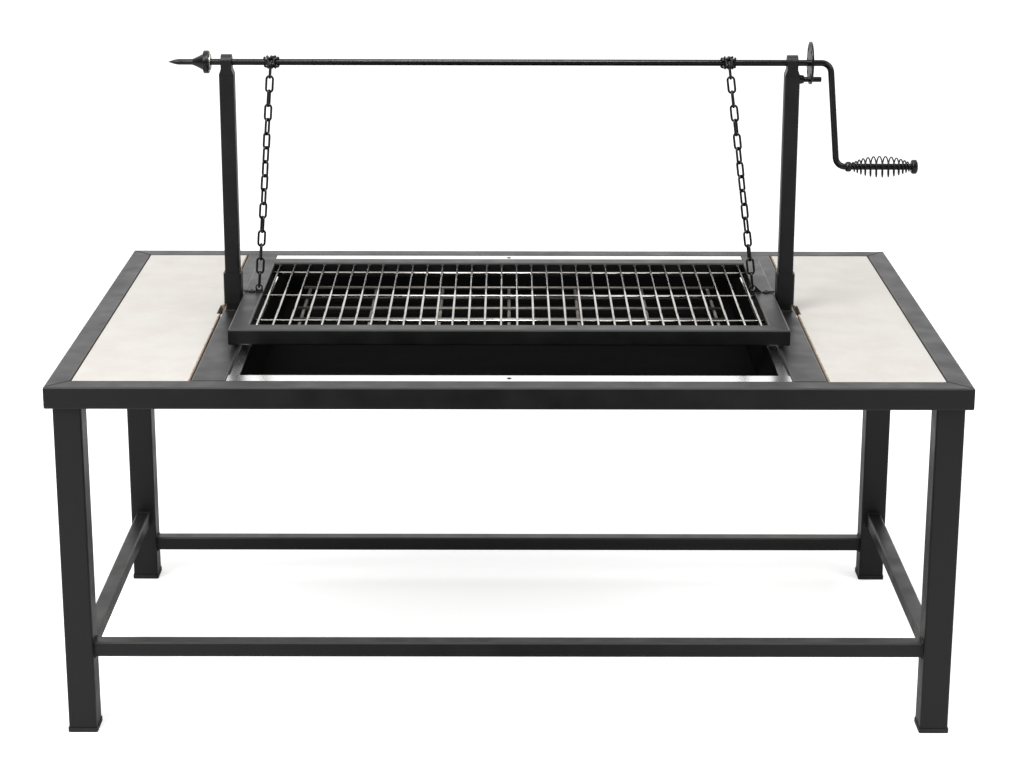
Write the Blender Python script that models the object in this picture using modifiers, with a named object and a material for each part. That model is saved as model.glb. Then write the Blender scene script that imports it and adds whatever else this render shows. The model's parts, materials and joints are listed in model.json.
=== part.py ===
# Grill table with a crank-raised cooking grate, in metres, +Z up.
# The origin is on the floor under the centre of the table top. +X is the viewer's right and -Y is the front.

import math

import bmesh
import bpy
from mathutils import Matrix, Vector

# Fits and clearances
SEAT_GAP = 0.0003
RUNNING_GAP = 0.0004
SLIDING_GAP = 0.0005

# Table top frame of square tube, mitred at the corners
TABLE_WIDTH = 1.600
TABLE_DEPTH = 1.000
TABLE_HEIGHT = 0.650
RAIL_SIZE = 0.040
RAIL_WALL = 0.002
TUBE_CORNER = 0.003

# Cross members that divide the top into two tile bays and the fire opening
CROSS_WIDTH = 0.060
FIRE_OPENING_WIDTH = 0.983
CROSS_HEIGHT = 0.030

# Legs, foot caps and stretchers
LEG_SIZE = 0.050
LEG_WALL = 0.002
LEG_SIDE_INSET = 0.012
LEG_FRONT_INSET = 0.012
LEG_REAR_INSET = 0.200
FOOT_LIP = 0.0015
FOOT_THICKNESS = 0.008
FOOT_PLUG_DEPTH = 0.025
FOOT_PLUG_WALL = 0.003
STRETCHER_SIZE = 0.028
STRETCHER_WALL = 0.0015
FRONT_STRETCHER_TOP = 0.1685
SIDE_STRETCHER_TOP = 0.147
REAR_STRETCHER_TOP = 0.0875

# Tiles and the bearers under them
TILE_THICKNESS = 0.020
TILE_JOINT = 0.002
TILE_RECESS = 0.0005
NOTCH_DEPTH = 0.007
NOTCH_LENGTH = 0.066
BEARER_SIZE = 0.016
BEARER_WALL = 0.0015
BEARER_FROM_CENTRE = 0.300

# Fire tray, its polished flange and the ledges that carry it
FLANGE_LONG_WIDTH = 0.035
FLANGE_END_WIDTH = 0.0165
FLANGE_END_CLEARANCE = 0.004
FLANGE_BAND_CLEARANCE = 0.001
FLANGE_THICKNESS = 0.002
FLANGE_RECESS = 0.001
TRAY_DEPTH = 0.060
TRAY_SHEET = 0.002
TRAY_SLOPE_END = 0.016
TRAY_SLOPE_LONG = 0.012
LEDGE_WIDTH = 0.020
LEDGE_THICKNESS = 0.003

# Coal grate on the floor of the tray
COAL_ROD = 0.007
COAL_PITCH = 0.0835
COAL_ROWS = 5
COAL_COLUMNS = 7
COAL_WIDTH = 0.860
COAL_REAR = 0.400

# Posts, stubs, sleeves and bearing heads
POST_SIZE = 0.028
POST_WALL = 0.002
POST_X = 0.531
POST_Y = 0.018
STUB_HEIGHT = 0.040
SLEEVE_SIZE = 0.034
SLEEVE_BOTTOM = 0.015
SLEEVE_HEIGHT = 0.060
ROD_ABOVE_TABLE = 0.480
HEAD_WIDTH = 0.0198
HEAD_RADIUS = 0.0148
NECK_BELOW_ROD = 0.0115
SHOULDER_BELOW_ROD = 0.023

# Winding shaft with its crank, in one bent bar
ROD_DIAMETER = 0.012
SHAFT_LEFT_END = 0.566
CRANK_TOP_X = 0.603
CRANK_BOTTOM_X = 0.621
CRANK_DROP = 0.198
CRANK_BEND = 0.019
HANDLE_END_X = 0.768

# Index disc and lock pin
DISC_X = 0.565
DISC_RADIUS = 0.040
DISC_THICKNESS = 0.004
DISC_HOLES = 8
HUB_LENGTH = 0.0045
HUB_RADIUS = 0.0125
PIN_RADIUS = 0.005
PIN_CIRCLE = 0.031
PIN_END_X = 0.5865
BOSS_LENGTH = 0.008
BOSS_BASE_RADIUS = 0.0090
BOSS_TIP_RADIUS = 0.0076
SOCKET_CLEARANCE = 0.0012
SOCKET_DEPTH = 0.0065

# Spear finial and its collar at the left end
FINIAL_TIP_X = 0.641
COLLAR_X = 0.574
COLLAR_LENGTH = 0.0135
COLLAR_RADIUS = 0.0215
COLLAR_STEP_LENGTH = 0.003
COLLAR_STEP_RADIUS = 0.0155
CONE_LENGTH = 0.0216
CONE_RADIUS = 0.0158
SPEAR_RADIUS = 0.0055
SPEAR_TAPER = 0.023

# Spring handle
HANDLE_COLLAR_RADIUS = 0.0098
HANDLE_COLLAR_X = 0.644
COIL_START_X = 0.6503
COIL_END_X = 0.7625
COIL_TURNS = 13
COIL_CROWDING = 0.38
COIL_WIRE = 0.0026
COIL_BULGE_RADIUS = 0.0197
KNOB_RADIUS = 0.0136
KNOB_LENGTH = 0.012
KNOB_CUP = 0.005

# Grill frame and cooking grate
GRILL_WIDTH = 1.018
GRILL_DEPTH = 0.540
GRILL_TUBE_WIDTH = 0.036
GRILL_TUBE_HEIGHT = 0.030
GRILL_WALL = 0.002
GRILL_ABOVE_TABLE = 0.008
GRATE_ROD = 0.004
GRATE_CROSS_ROD = 0.005
GRATE_RODS = 32
GRATE_PITCH = 0.0298
GRATE_BELOW_TOP = 0.003
GRATE_CROSS_SPACING = 0.180
WELD_DEPTH = 0.0014

# Chains, their lugs and the guide eyes on the grill frame
LINK_WIRE = 0.0042
LINK_WIDTH = 0.0168
WOUND_LINK_WIDTH = 0.0155
LINK_INNER = 0.0262
LINK_OVERLAP = 0.0010
CHAIN_TOP_LEFT_X = 0.447
CHAIN_TOP_RIGHT_X = 0.411
LUG_X = 0.480
LEFT_LUG_LEAN = 0.0
RIGHT_LUG_LEAN = 0.012
LUG_WIDTH = 0.014
LUG_THICKNESS = 0.004
LUG_HOLE = 0.0045
LUG_HOLE_HEIGHT = 0.009
LINK_IN_LUG = 0.0008
WRAP_SIDE_LINK_X = 0.0072
CHAIN_FROM_ROD = 0.0144
HOOK_BELOW_ROD = 0.002
EYE_WIRE = 0.0035
EYE_RADIUS = 0.0065
EYE_FROM_LUG = 0.014

# Heights and places that follow from the sizes above
HALF_WIDTH = TABLE_WIDTH / 2
HALF_DEPTH = TABLE_DEPTH / 2
RAIL_BOTTOM = TABLE_HEIGHT - RAIL_SIZE
LEG_TOP = RAIL_BOTTOM - SEAT_GAP
CROSS_X = FIRE_OPENING_WIDTH / 2 + CROSS_WIDTH / 2
INNER_HALF_DEPTH = HALF_DEPTH - RAIL_SIZE
ROD_Z = TABLE_HEIGHT + ROD_ABOVE_TABLE
ROD_RADIUS = ROD_DIAMETER / 2
POST_TOP = ROD_Z - SHOULDER_BELOW_ROD
GRILL_BOTTOM = TABLE_HEIGHT + GRILL_ABOVE_TABLE
GRILL_TOP = GRILL_BOTTOM + GRILL_TUBE_HEIGHT
WRAP_RADIUS = ROD_RADIUS + SEAT_GAP + LINK_WIRE / 2
CHAIN_Y = POST_Y - CHAIN_FROM_ROD
GRILL_Y = CHAIN_Y


def make_collection(name):
    collection = bpy.data.collections.new(name)
    bpy.context.scene.collection.children.link(collection)
    return collection


for old in list(bpy.data.objects):
    bpy.data.objects.remove(old, do_unlink=True)
PARTS = make_collection("crank_grill_table")
CUTTERS = make_collection("cutters")


def make_material(name, colour, roughness, metallic):
    material = bpy.data.materials.new(name)
    material.use_nodes = True
    shader = material.node_tree.nodes["Principled BSDF"]
    shader.inputs["Base Color"].default_value = (*colour, 1.0)
    shader.inputs["Roughness"].default_value = roughness
    shader.inputs["Metallic"].default_value = metallic
    return material


BLACK_COAT = make_material("black_powder_coat", (0.020, 0.020, 0.021), 0.42, 0.0)
BLACK_STEEL = make_material("blackened_steel", (0.014, 0.014, 0.015), 0.38, 0.6)
HEAT_PAINT = make_material("black_heat_paint", (0.022, 0.022, 0.022), 0.60, 0.0)
STAINLESS = make_material("polished_stainless", (0.80, 0.80, 0.80), 0.18, 1.0)
GRATE_STEEL = make_material("bare_grate_steel", (0.62, 0.61, 0.60), 0.30, 1.0)
STONE = make_material("pale_stone", (0.84, 0.82, 0.79), 0.45, 0.0)
BLACK_PLASTIC = make_material("black_plastic", (0.015, 0.015, 0.015), 0.50, 0.0)


def add_object(name, mesh, material, collection=None):
    """An object that shows this mesh in this material."""
    obj = bpy.data.objects.new(name, mesh)
    (collection or PARTS).objects.link(obj)
    if material:
        mesh.materials.clear()
        mesh.materials.append(material)
    return obj


def smooth(obj, angle=35):
    obj.data.shade_smooth()
    obj.data.set_sharp_from_angle(angle=math.radians(angle))
    return obj


def mesh_from_curve(curve):
    """A closed mesh of a curve, with its end caps welded on."""
    temporary = bpy.data.objects.new("outline", curve)
    PARTS.objects.link(temporary)
    bpy.context.view_layer.update()
    graph = bpy.context.evaluated_depsgraph_get()
    mesh = bpy.data.meshes.new_from_object(temporary.evaluated_get(graph))
    bpy.data.objects.remove(temporary)
    bpy.data.curves.remove(curve)
    edit = bmesh.new()
    edit.from_mesh(mesh)
    bmesh.ops.remove_doubles(edit, verts=edit.verts, dist=1e-6)
    bmesh.ops.recalc_face_normals(edit, faces=edit.faces)
    edit.to_mesh(mesh)
    edit.free()
    return mesh


def rounded_rectangle(width, height, radius, steps=2):
    """Corner points of a rectangle round the origin, with arcs of this radius at its corners."""
    points = []
    centres = ((1, 1, 0), (-1, 1, 90), (-1, -1, 180), (1, -1, 270))
    for side_x, side_y, start in centres:
        for step in range(steps + 1):
            angle = math.radians(start + 90 * step / steps)
            x = side_x * (width / 2 - radius) + radius * math.cos(angle)
            y = side_y * (height / 2 - radius) + radius * math.sin(angle)
            points.append((x, y))
    return points


def circle_points(radius, sides, centre=(0.0, 0.0)):
    steps = (2 * math.pi * k / sides for k in range(sides))
    return [(centre[0] + radius * math.cos(a), centre[1] + radius * math.sin(a)) for a in steps]


def plate_mesh(outlines, thickness):
    """A flat plate in the local XY plane, centred on it: the first outline is the edge and the rest are holes."""
    curve = bpy.data.curves.new("outline", "CURVE")
    curve.dimensions = "2D"
    curve.fill_mode = "BOTH"
    curve.extrude = thickness / 2
    for outline in outlines:
        spline = curve.splines.new("POLY")
        spline.points.add(len(outline) - 1)
        for point, (x, y) in zip(spline.points, outline):
            point.co = (x, y, 0, 1)
        spline.use_cyclic_u = True
    return mesh_from_curve(curve)


def wire_mesh(points, radius, sides_setting=2, cyclic=False):
    """A round bar along these points."""
    curve = bpy.data.curves.new("bar", "CURVE")
    curve.dimensions = "3D"
    curve.bevel_depth = radius
    curve.bevel_resolution = sides_setting
    curve.use_fill_caps = not cyclic
    spline = curve.splines.new("POLY")
    spline.points.add(len(points) - 1)
    for point, place in zip(spline.points, points):
        point.co = (*place, 1)
    spline.use_cyclic_u = cyclic
    return mesh_from_curve(curve)


def placed(obj, location, along="Z"):
    """Turns an object so that its local Z runs along this world axis, and puts it in place."""
    turns = {
        "Z": Matrix.Identity(3),
        "X": Matrix(((0, 0, 1), (1, 0, 0), (0, 1, 0))),
        "Y": Matrix(((1, 0, 0), (0, 0, 1), (0, -1, 0))),
    }
    obj.matrix_world = Matrix.Translation(location) @ turns[along].to_4x4()
    return obj


def square_tube(name, length, size, wall, location, along, material, height=None):
    """A rounded square or flat tube, open at both ends, of this width and, where given, another height."""
    across = (size, height or size)
    outer = rounded_rectangle(*across, TUBE_CORNER)
    inner = rounded_rectangle(across[0] - 2 * wall, across[1] - 2 * wall, TUBE_CORNER - wall / 2)
    tube = add_object(name, plate_mesh([outer, inner], length), material)
    placed(tube, location, along)
    return smooth(tube)


def box_cutter(name, size, matrix):
    edit = bmesh.new()
    bmesh.ops.create_cube(edit, size=1.0)
    bmesh.ops.scale(edit, vec=size, verts=edit.verts)
    mesh = bpy.data.meshes.new(name)
    edit.to_mesh(mesh)
    edit.free()
    cutter = add_object(name, mesh, None, CUTTERS)
    cutter.matrix_world = matrix
    cutter.hide_render = True
    cutter.display_type = "WIRE"
    return cutter


def cylinder_cutter(name, radius, length, location, along, sides=24):
    edit = bmesh.new()
    bmesh.ops.create_cone(
        edit, cap_ends=True, segments=sides, radius1=radius, radius2=radius, depth=length
    )
    mesh = bpy.data.meshes.new(name)
    edit.to_mesh(mesh)
    edit.free()
    cutter = placed(add_object(name, mesh, None, CUTTERS), location, along)
    cutter.hide_render = True
    cutter.display_type = "WIRE"
    return cutter


def cut(obj, cutter):
    step = obj.modifiers.new("cut_" + cutter.name, "BOOLEAN")
    step.operation = "DIFFERENCE"
    step.object = cutter
    return obj


def joined(name, meshes, material):
    """Overlapping closed meshes made into one solid, as welded pieces are."""
    group = make_collection(name + "_pieces")
    bpy.context.scene.collection.children.unlink(group)
    CUTTERS.children.link(group)
    base = add_object(name, meshes[0], material)
    for number, mesh in enumerate(meshes[1:]):
        piece = add_object(f"{name}_piece_{number}", mesh, None, group)
        piece.hide_render = True
        piece.display_type = "WIRE"
    step = base.modifiers.new("weld", "BOOLEAN")
    step.operation = "UNION"
    step.operand_type = "COLLECTION"
    step.collection = group
    return base


def mitred_tube(name, length, width, height, wall, centre, outward, material):
    """A tube cut at 45 degrees at both ends. Outward is the world direction of its long outer side."""
    along = "X" if outward.x == 0 else "Y"
    tube = square_tube(name, length, width, wall, centre, along, material, height)
    run = Vector((1, 0, 0)) if along == "X" else Vector((0, 1, 0))
    reach = 3 * width
    for side in (-1, 1):
        corner = centre + side * run * length / 2 + outward * width / 2
        normal = (side * run - outward).normalized()
        middle = corner + normal * (reach / 2 - SEAT_GAP / 2)
        turn = normal.to_track_quat("Z", "X").to_matrix().to_4x4()
        place = Matrix.Translation(middle) @ turn
        cut(tube, box_cutter(f"{name}_mitre_{side}", (reach, reach, reach), place))
    return tube


def turned(name, profile, location, material, sides=24):
    """A piece turned about the world X axis. The profile is (place along X, radius), from high X to low X."""
    mesh = bpy.data.meshes.new(name)
    edit = bmesh.new()
    points = [edit.verts.new((radius, 0, place)) for place, radius in profile]
    for first, second in zip(points, points[1:]):
        if first.co.x > 0 or second.co.x > 0:
            edit.edges.new((first, second))
    edit.to_mesh(mesh)
    edit.free()
    obj = placed(add_object(name, mesh, material), location, "X")
    screw = obj.modifiers.new("turn", "SCREW")
    screw.steps = sides
    screw.render_steps = sides
    screw.use_merge_vertices = True
    screw.merge_threshold = 0.00002
    return smooth(obj)


def bend_points(before, corner, after, radius, steps=6):
    """Points of an arc that rounds the corner between two straight runs."""
    first = (before - corner).normalized()
    second = (after - corner).normalized()
    half = first.angle(second) / 2
    reach = radius / math.tan(half)
    centre = corner + (first + second).normalized() * radius / math.sin(half)
    start = corner + first * reach - centre
    end = corner + second * reach - centre
    return [centre + start.slerp(end, step / steps).normalized() * radius for step in range(steps + 1)]


# Table top frame
def build_top_frame():
    middle = TABLE_HEIGHT - RAIL_SIZE / 2
    rails = (
        ("front_rail", TABLE_WIDTH, Vector((0, -HALF_DEPTH + RAIL_SIZE / 2, middle)), Vector((0, -1, 0))),
        ("rear_rail", TABLE_WIDTH, Vector((0, HALF_DEPTH - RAIL_SIZE / 2, middle)), Vector((0, 1, 0))),
        ("left_rail", TABLE_DEPTH, Vector((-HALF_WIDTH + RAIL_SIZE / 2, 0, middle)), Vector((-1, 0, 0))),
        ("right_rail", TABLE_DEPTH, Vector((HALF_WIDTH - RAIL_SIZE / 2, 0, middle)), Vector((1, 0, 0))),
    )
    for name, length, centre, outward in rails:
        mitred_tube(name, length, RAIL_SIZE, RAIL_SIZE, RAIL_WALL, centre, outward, BLACK_COAT)
    cross_length = 2 * (INNER_HALF_DEPTH - SEAT_GAP)
    cross_z = TABLE_HEIGHT - CROSS_HEIGHT / 2
    for name, side in (("left_cross_member", -1), ("right_cross_member", 1)):
        place = Vector((side * CROSS_X, 0, cross_z))
        square_tube(name, cross_length, CROSS_WIDTH, RAIL_WALL, place, "Y", BLACK_COAT, CROSS_HEIGHT)


# Legs with their foot caps, and the stretchers between them
def leg_centres():
    x = HALF_WIDTH - LEG_SIDE_INSET - LEG_SIZE / 2
    front = -HALF_DEPTH + LEG_FRONT_INSET + LEG_SIZE / 2
    rear = HALF_DEPTH - LEG_REAR_INSET - LEG_SIZE / 2
    return {
        "front_left": (-x, front),
        "front_right": (x, front),
        "rear_left": (-x, rear),
        "rear_right": (x, rear),
    }


def foot_cap(name, x, y):
    lip_size = LEG_SIZE + 2 * FOOT_LIP
    lip = plate_mesh([rounded_rectangle(lip_size, lip_size, TUBE_CORNER)], FOOT_THICKNESS)
    lip.transform(Matrix.Translation((0, 0, FOOT_THICKNESS / 2)))
    bore = LEG_SIZE - 2 * LEG_WALL - 2 * SEAT_GAP
    plug_height = FOOT_PLUG_DEPTH + WELD_DEPTH
    outer = rounded_rectangle(bore, bore, TUBE_CORNER - LEG_WALL / 2)
    inside = bore - 2 * FOOT_PLUG_WALL
    inner = rounded_rectangle(inside, inside, TUBE_CORNER - LEG_WALL / 2)
    plug = plate_mesh([outer, inner], plug_height)
    plug.transform(Matrix.Translation((0, 0, FOOT_THICKNESS - WELD_DEPTH + plug_height / 2)))
    cap = joined(name, [lip, plug], BLACK_PLASTIC)
    cap.location = (x, y, 0)
    for piece in bpy.data.collections[name + "_pieces"].objects:
        piece.location = (x, y, 0)
    return smooth(cap)


def build_legs():
    centres = leg_centres()
    bottom = FOOT_THICKNESS + SEAT_GAP
    for corner, (x, y) in centres.items():
        place = (x, y, (bottom + LEG_TOP) / 2)
        square_tube(corner + "_leg", LEG_TOP - bottom, LEG_SIZE, LEG_WALL, place, "Z", BLACK_COAT)
        foot_cap(corner + "_foot", x, y)
    clear = LEG_SIZE / 2 + SEAT_GAP
    leg_x = centres["front_right"][0]
    front_y = centres["front_right"][1]
    rear_y = centres["rear_right"][1]
    long_run = 2 * (leg_x - clear)
    half = STRETCHER_SIZE / 2
    for name, y, top in (
        ("front_stretcher", front_y, FRONT_STRETCHER_TOP),
        ("rear_stretcher", rear_y, REAR_STRETCHER_TOP),
    ):
        square_tube(name, long_run, STRETCHER_SIZE, STRETCHER_WALL, (0, y, top - half), "X", BLACK_COAT)
    side_run = rear_y - front_y - 2 * clear
    for name, side in (("left_stretcher", -1), ("right_stretcher", 1)):
        place = (side * leg_x, (front_y + rear_y) / 2, SIDE_STRETCHER_TOP - half)
        square_tube(name, side_run, STRETCHER_SIZE, STRETCHER_WALL, place, "Y", BLACK_COAT)


# Tiles, each notched beside its post, on two bearers
def build_tiles():
    outer = HALF_WIDTH - RAIL_SIZE - TILE_JOINT
    inner = CROSS_X + CROSS_WIDTH / 2 + TILE_JOINT
    half_length = INNER_HALF_DEPTH - TILE_JOINT
    low = POST_Y - NOTCH_LENGTH / 2
    high = POST_Y + NOTCH_LENGTH / 2
    deep = inner + NOTCH_DEPTH
    top = TABLE_HEIGHT - TILE_RECESS
    under = top - TILE_THICKNESS - SEAT_GAP
    bay_centre = (HALF_WIDTH - RAIL_SIZE + CROSS_X + CROSS_WIDTH / 2) / 2
    bay_width = HALF_WIDTH - RAIL_SIZE - CROSS_X - CROSS_WIDTH / 2
    for name, side in (("left", -1), ("right", 1)):
        outline = [
            (inner, -half_length),
            (outer, -half_length),
            (outer, half_length),
            (inner, half_length),
            (inner, high),
            (deep, high),
            (deep, low),
            (inner, low),
        ]
        outline = [(side * x, y) for x, y in outline]
        tile = add_object(name + "_tile", plate_mesh([outline], TILE_THICKNESS), STONE)
        tile.location = (0, 0, top - TILE_THICKNESS / 2)
        edge = tile.modifiers.new("arris", "BEVEL")
        edge.width = 0.0008
        edge.segments = 1
        for place, y in (("front", -BEARER_FROM_CENTRE), ("rear", BEARER_FROM_CENTRE)):
            square_tube(
                f"{name}_{place}_bearer",
                bay_width - 2 * SEAT_GAP,
                BEARER_SIZE,
                BEARER_WALL,
                (side * bay_centre, y, under - BEARER_SIZE / 2),
                "X",
                BLACK_COAT,
            )


# Fire tray hung from its flange, which rests on a ledge along each long rail
def tray_mesh(half_x, half_y, z_top):
    """An open tray with sloping walls, as a closed shell of sheet."""
    edit = bmesh.new()
    bmesh.ops.create_grid(edit, x_segments=1, y_segments=1, size=0.5)
    floor = edit.faces[:]
    grown = bmesh.ops.extrude_face_region(edit, geom=floor)
    lifted = [item for item in grown["geom"] if isinstance(item, bmesh.types.BMVert)]
    lid = [item for item in grown["geom"] if isinstance(item, bmesh.types.BMFace)]
    bmesh.ops.delete(edit, geom=lid, context="FACES_ONLY")
    for vert in edit.verts:
        upper = vert in lifted
        x = half_x if upper else half_x - TRAY_SLOPE_END
        y = half_y if upper else half_y - TRAY_SLOPE_LONG
        vert.co.x = math.copysign(x, vert.co.x)
        vert.co.y = math.copysign(y, vert.co.y)
        vert.co.z = z_top if upper else z_top - TRAY_DEPTH
    bmesh.ops.recalc_face_normals(edit, faces=edit.faces)
    mesh = bpy.data.meshes.new("fire_tray")
    edit.to_mesh(mesh)
    edit.free()
    return mesh


def build_fire_tray():
    outer_x = FIRE_OPENING_WIDTH / 2 - FLANGE_END_CLEARANCE
    outer_y = INNER_HALF_DEPTH - TILE_JOINT
    inner_x = outer_x - FLANGE_END_WIDTH
    inner_y = outer_y - FLANGE_LONG_WIDTH
    top = TABLE_HEIGHT - FLANGE_RECESS
    band_x = FIRE_OPENING_WIDTH / 2 - FLANGE_BAND_CLEARANCE
    quarter = [(band_x, outer_y), (band_x, inner_y), (outer_x, inner_y)]
    outer = []
    for side_x, side_y in ((1, -1), (1, 1), (-1, 1), (-1, -1)):
        corner = quarter if side_x * side_y < 0 else reversed(quarter)
        outer += [(side_x * x, side_y * y) for x, y in corner]
    inner = rounded_rectangle(2 * inner_x, 2 * inner_y, TUBE_CORNER / 2, 1)
    flange = add_object("tray_flange", plate_mesh([outer, inner], FLANGE_THICKNESS), STAINLESS)
    flange.location = (0, 0, top - FLANGE_THICKNESS / 2)
    under = top - FLANGE_THICKNESS - SEAT_GAP
    tray = add_object("fire_tray", tray_mesh(inner_x, inner_y, under), HEAT_PAINT)
    sheet = tray.modifiers.new("sheet", "SOLIDIFY")
    sheet.thickness = TRAY_SHEET
    sheet.offset = 1.0
    sheet.use_even_offset = True
    ledge_length = FIRE_OPENING_WIDTH - 2 * SEAT_GAP
    for name, side in (("front_ledge", -1), ("rear_ledge", 1)):
        outline = rounded_rectangle(ledge_length, LEDGE_WIDTH, LEDGE_THICKNESS / 3, 1)
        ledge = add_object(name, plate_mesh([outline], LEDGE_THICKNESS), BLACK_COAT)
        ledge.location = (0, side * (INNER_HALF_DEPTH - SEAT_GAP - LEDGE_WIDTH / 2), under - LEDGE_THICKNESS / 2)
    floor_top = under - TRAY_DEPTH
    build_coal_grate(floor_top)


def bar_x(length, radius, x, y, z, sides_setting=2):
    half = length / 2
    return wire_mesh([(x - half, y, z), (x + half, y, z)], radius, sides_setting)


def bar_y(length, radius, x, y, z, sides_setting=2):
    half = length / 2
    return wire_mesh([(x, y - half, z), (x, y + half, z)], radius, sides_setting)


def build_coal_grate(floor_top):
    radius = COAL_ROD / 2
    low_z = floor_top + SEAT_GAP + radius
    high_z = low_z + COAL_ROD - WELD_DEPTH
    run = (COAL_ROWS - 1) * COAL_PITCH + 2 * COAL_ROD
    last_y = COAL_REAR - COAL_ROD
    middle_y = last_y - (COAL_ROWS - 1) * COAL_PITCH / 2
    bars = []
    for row in range(COAL_ROWS):
        bars.append(bar_x(COAL_WIDTH, radius, 0, last_y - row * COAL_PITCH, high_z, 1))
    spacing = (COAL_WIDTH - 4 * COAL_ROD) / (COAL_COLUMNS - 1)
    for column in range(COAL_COLUMNS):
        x = (column - (COAL_COLUMNS - 1) / 2) * spacing
        bars.append(bar_y(run, radius, x, middle_y, low_z, 1))
    joined("coal_grate", bars, GRATE_STEEL)


# Posts in sleeves over short stubs, with a bearing head welded on each
def bearing_head(name, x, material):
    half_neck = HEAD_WIDTH / 2
    half_post = POST_SIZE / 2
    base_z = POST_TOP + SEAT_GAP - ROD_Z
    neck_z = -NECK_BELOW_ROD
    outline = [(-half_post, base_z), (half_post, base_z), (half_neck, neck_z)]
    outline += [(half_neck, HEAD_RADIUS), (-half_neck, HEAD_RADIUS), (-half_neck, neck_z)]
    head = add_object(name, plate_mesh([outline], POST_SIZE), material)
    head.matrix_world = Matrix.Translation((x, POST_Y, ROD_Z)) @ Matrix.Rotation(math.pi / 2, 4, "X")
    corner = box_cutter(name + "_crown", (POST_SIZE, 2 * POST_SIZE, 2 * POST_SIZE), Matrix.Identity(4))
    corner.matrix_world = Matrix.Translation((x, POST_Y, ROD_Z + POST_SIZE))
    round_top = cylinder_cutter(name + "_round", HEAD_RADIUS, 2 * POST_SIZE, (x, POST_Y, ROD_Z), "X", 32)
    cut(corner, round_top)
    cut(head, corner)
    bore = ROD_RADIUS + RUNNING_GAP
    cut(head, cylinder_cutter(name + "_bore", bore, 2 * POST_SIZE, (x, POST_Y, ROD_Z), "X", 32))
    return smooth(head)


def build_posts():
    for name, side in (("left", -1), ("right", 1)):
        x = side * POST_X
        stub_low = TABLE_HEIGHT + SEAT_GAP
        stub_high = TABLE_HEIGHT + STUB_HEIGHT
        stub_place = (x, POST_Y, (stub_low + stub_high) / 2)
        square_tube(name + "_stub", stub_high - stub_low, POST_SIZE, POST_WALL, stub_place, "Z", BLACK_COAT)
        post_low = stub_high + SEAT_GAP
        post_place = (x, POST_Y, (post_low + POST_TOP) / 2)
        square_tube(name + "_post", POST_TOP - post_low, POST_SIZE, POST_WALL, post_place, "Z", BLACK_COAT)
        outer = rounded_rectangle(SLEEVE_SIZE, SLEEVE_SIZE, TUBE_CORNER)
        bore = POST_SIZE + 2 * SEAT_GAP
        inner = rounded_rectangle(bore, bore, TUBE_CORNER)
        sleeve = add_object(name + "_sleeve", plate_mesh([outer, inner], SLEEVE_HEIGHT), BLACK_COAT)
        sleeve.location = (x, POST_Y, TABLE_HEIGHT + SLEEVE_BOTTOM + SLEEVE_HEIGHT / 2)
        smooth(sleeve)
        bearing_head(name + "_bearing_head", x, BLACK_COAT)


# Winding shaft: a straight bar through both heads, bent into the crank arm and the handle
def build_shaft():
    start = Vector((-SHAFT_LEFT_END, 0, 0))
    elbow = Vector((CRANK_TOP_X, 0, 0))
    low = Vector((CRANK_BOTTOM_X, 0, -CRANK_DROP))
    end = Vector((HANDLE_END_X, 0, -CRANK_DROP))
    path = [start]
    path += bend_points(start, elbow, low, CRANK_BEND)
    path += bend_points(elbow, low, end, CRANK_BEND)
    path.append(end)
    shaft = add_object("winding_shaft", wire_mesh(path, ROD_RADIUS, 6), BLACK_STEEL)
    shaft.location = (0, POST_Y, ROD_Z)
    return smooth(shaft)


def build_index_disc():
    bore = ROD_RADIUS + SEAT_GAP
    outlines = [circle_points(DISC_RADIUS, 48), circle_points(bore, 24)]
    for hole in range(DISC_HOLES):
        angle = 2 * math.pi * hole / DISC_HOLES
        centre = (PIN_CIRCLE * math.cos(angle), PIN_CIRCLE * math.sin(angle))
        outlines.append(circle_points(PIN_RADIUS + SLIDING_GAP, 16, centre))
    disc = add_object("index_disc", plate_mesh(outlines, DISC_THICKNESS), BLACK_STEEL)
    smooth(placed(disc, (DISC_X, POST_Y, ROD_Z), "X"))
    face = DISC_X + DISC_THICKNESS / 2 + SEAT_GAP
    tip = bore + 0.0012
    profile = [(HUB_LENGTH, bore), (HUB_LENGTH, tip), (0, HUB_RADIUS), (0, bore), (HUB_LENGTH, bore)]
    turned("disc_weld_hub", profile, (face, POST_Y, ROD_Z), BLACK_STEEL)


# Lock pin: carried in a hole of the disc, its tip just clear of the socket in the boss
def build_lock():
    z = ROD_Z - PIN_CIRCLE
    face = POST_X + POST_SIZE / 2 + SEAT_GAP
    socket = PIN_RADIUS + SOCKET_CLEARANCE
    profile = [
        (BOSS_LENGTH, socket),
        (BOSS_LENGTH, BOSS_TIP_RADIUS),
        (0, BOSS_BASE_RADIUS),
        (0, 0),
        (BOSS_LENGTH - SOCKET_DEPTH, 0),
        (BOSS_LENGTH - SOCKET_DEPTH, socket),
        (BOSS_LENGTH, socket),
    ]
    turned("pin_boss", profile, (face, POST_Y, z), BLACK_COAT)
    tip = face + BOSS_LENGTH + SLIDING_GAP
    length = PIN_END_X - tip
    round_end = 0.0012
    profile = [
        (length, 0),
        (length, PIN_RADIUS - round_end),
        (length - round_end / 3, PIN_RADIUS - round_end / 3),
        (length - round_end, PIN_RADIUS),
        (round_end, PIN_RADIUS),
        (0, PIN_RADIUS - round_end),
        (0, 0),
    ]
    turned("lock_pin", profile, (tip, POST_Y, z), BLACK_STEEL)


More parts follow.
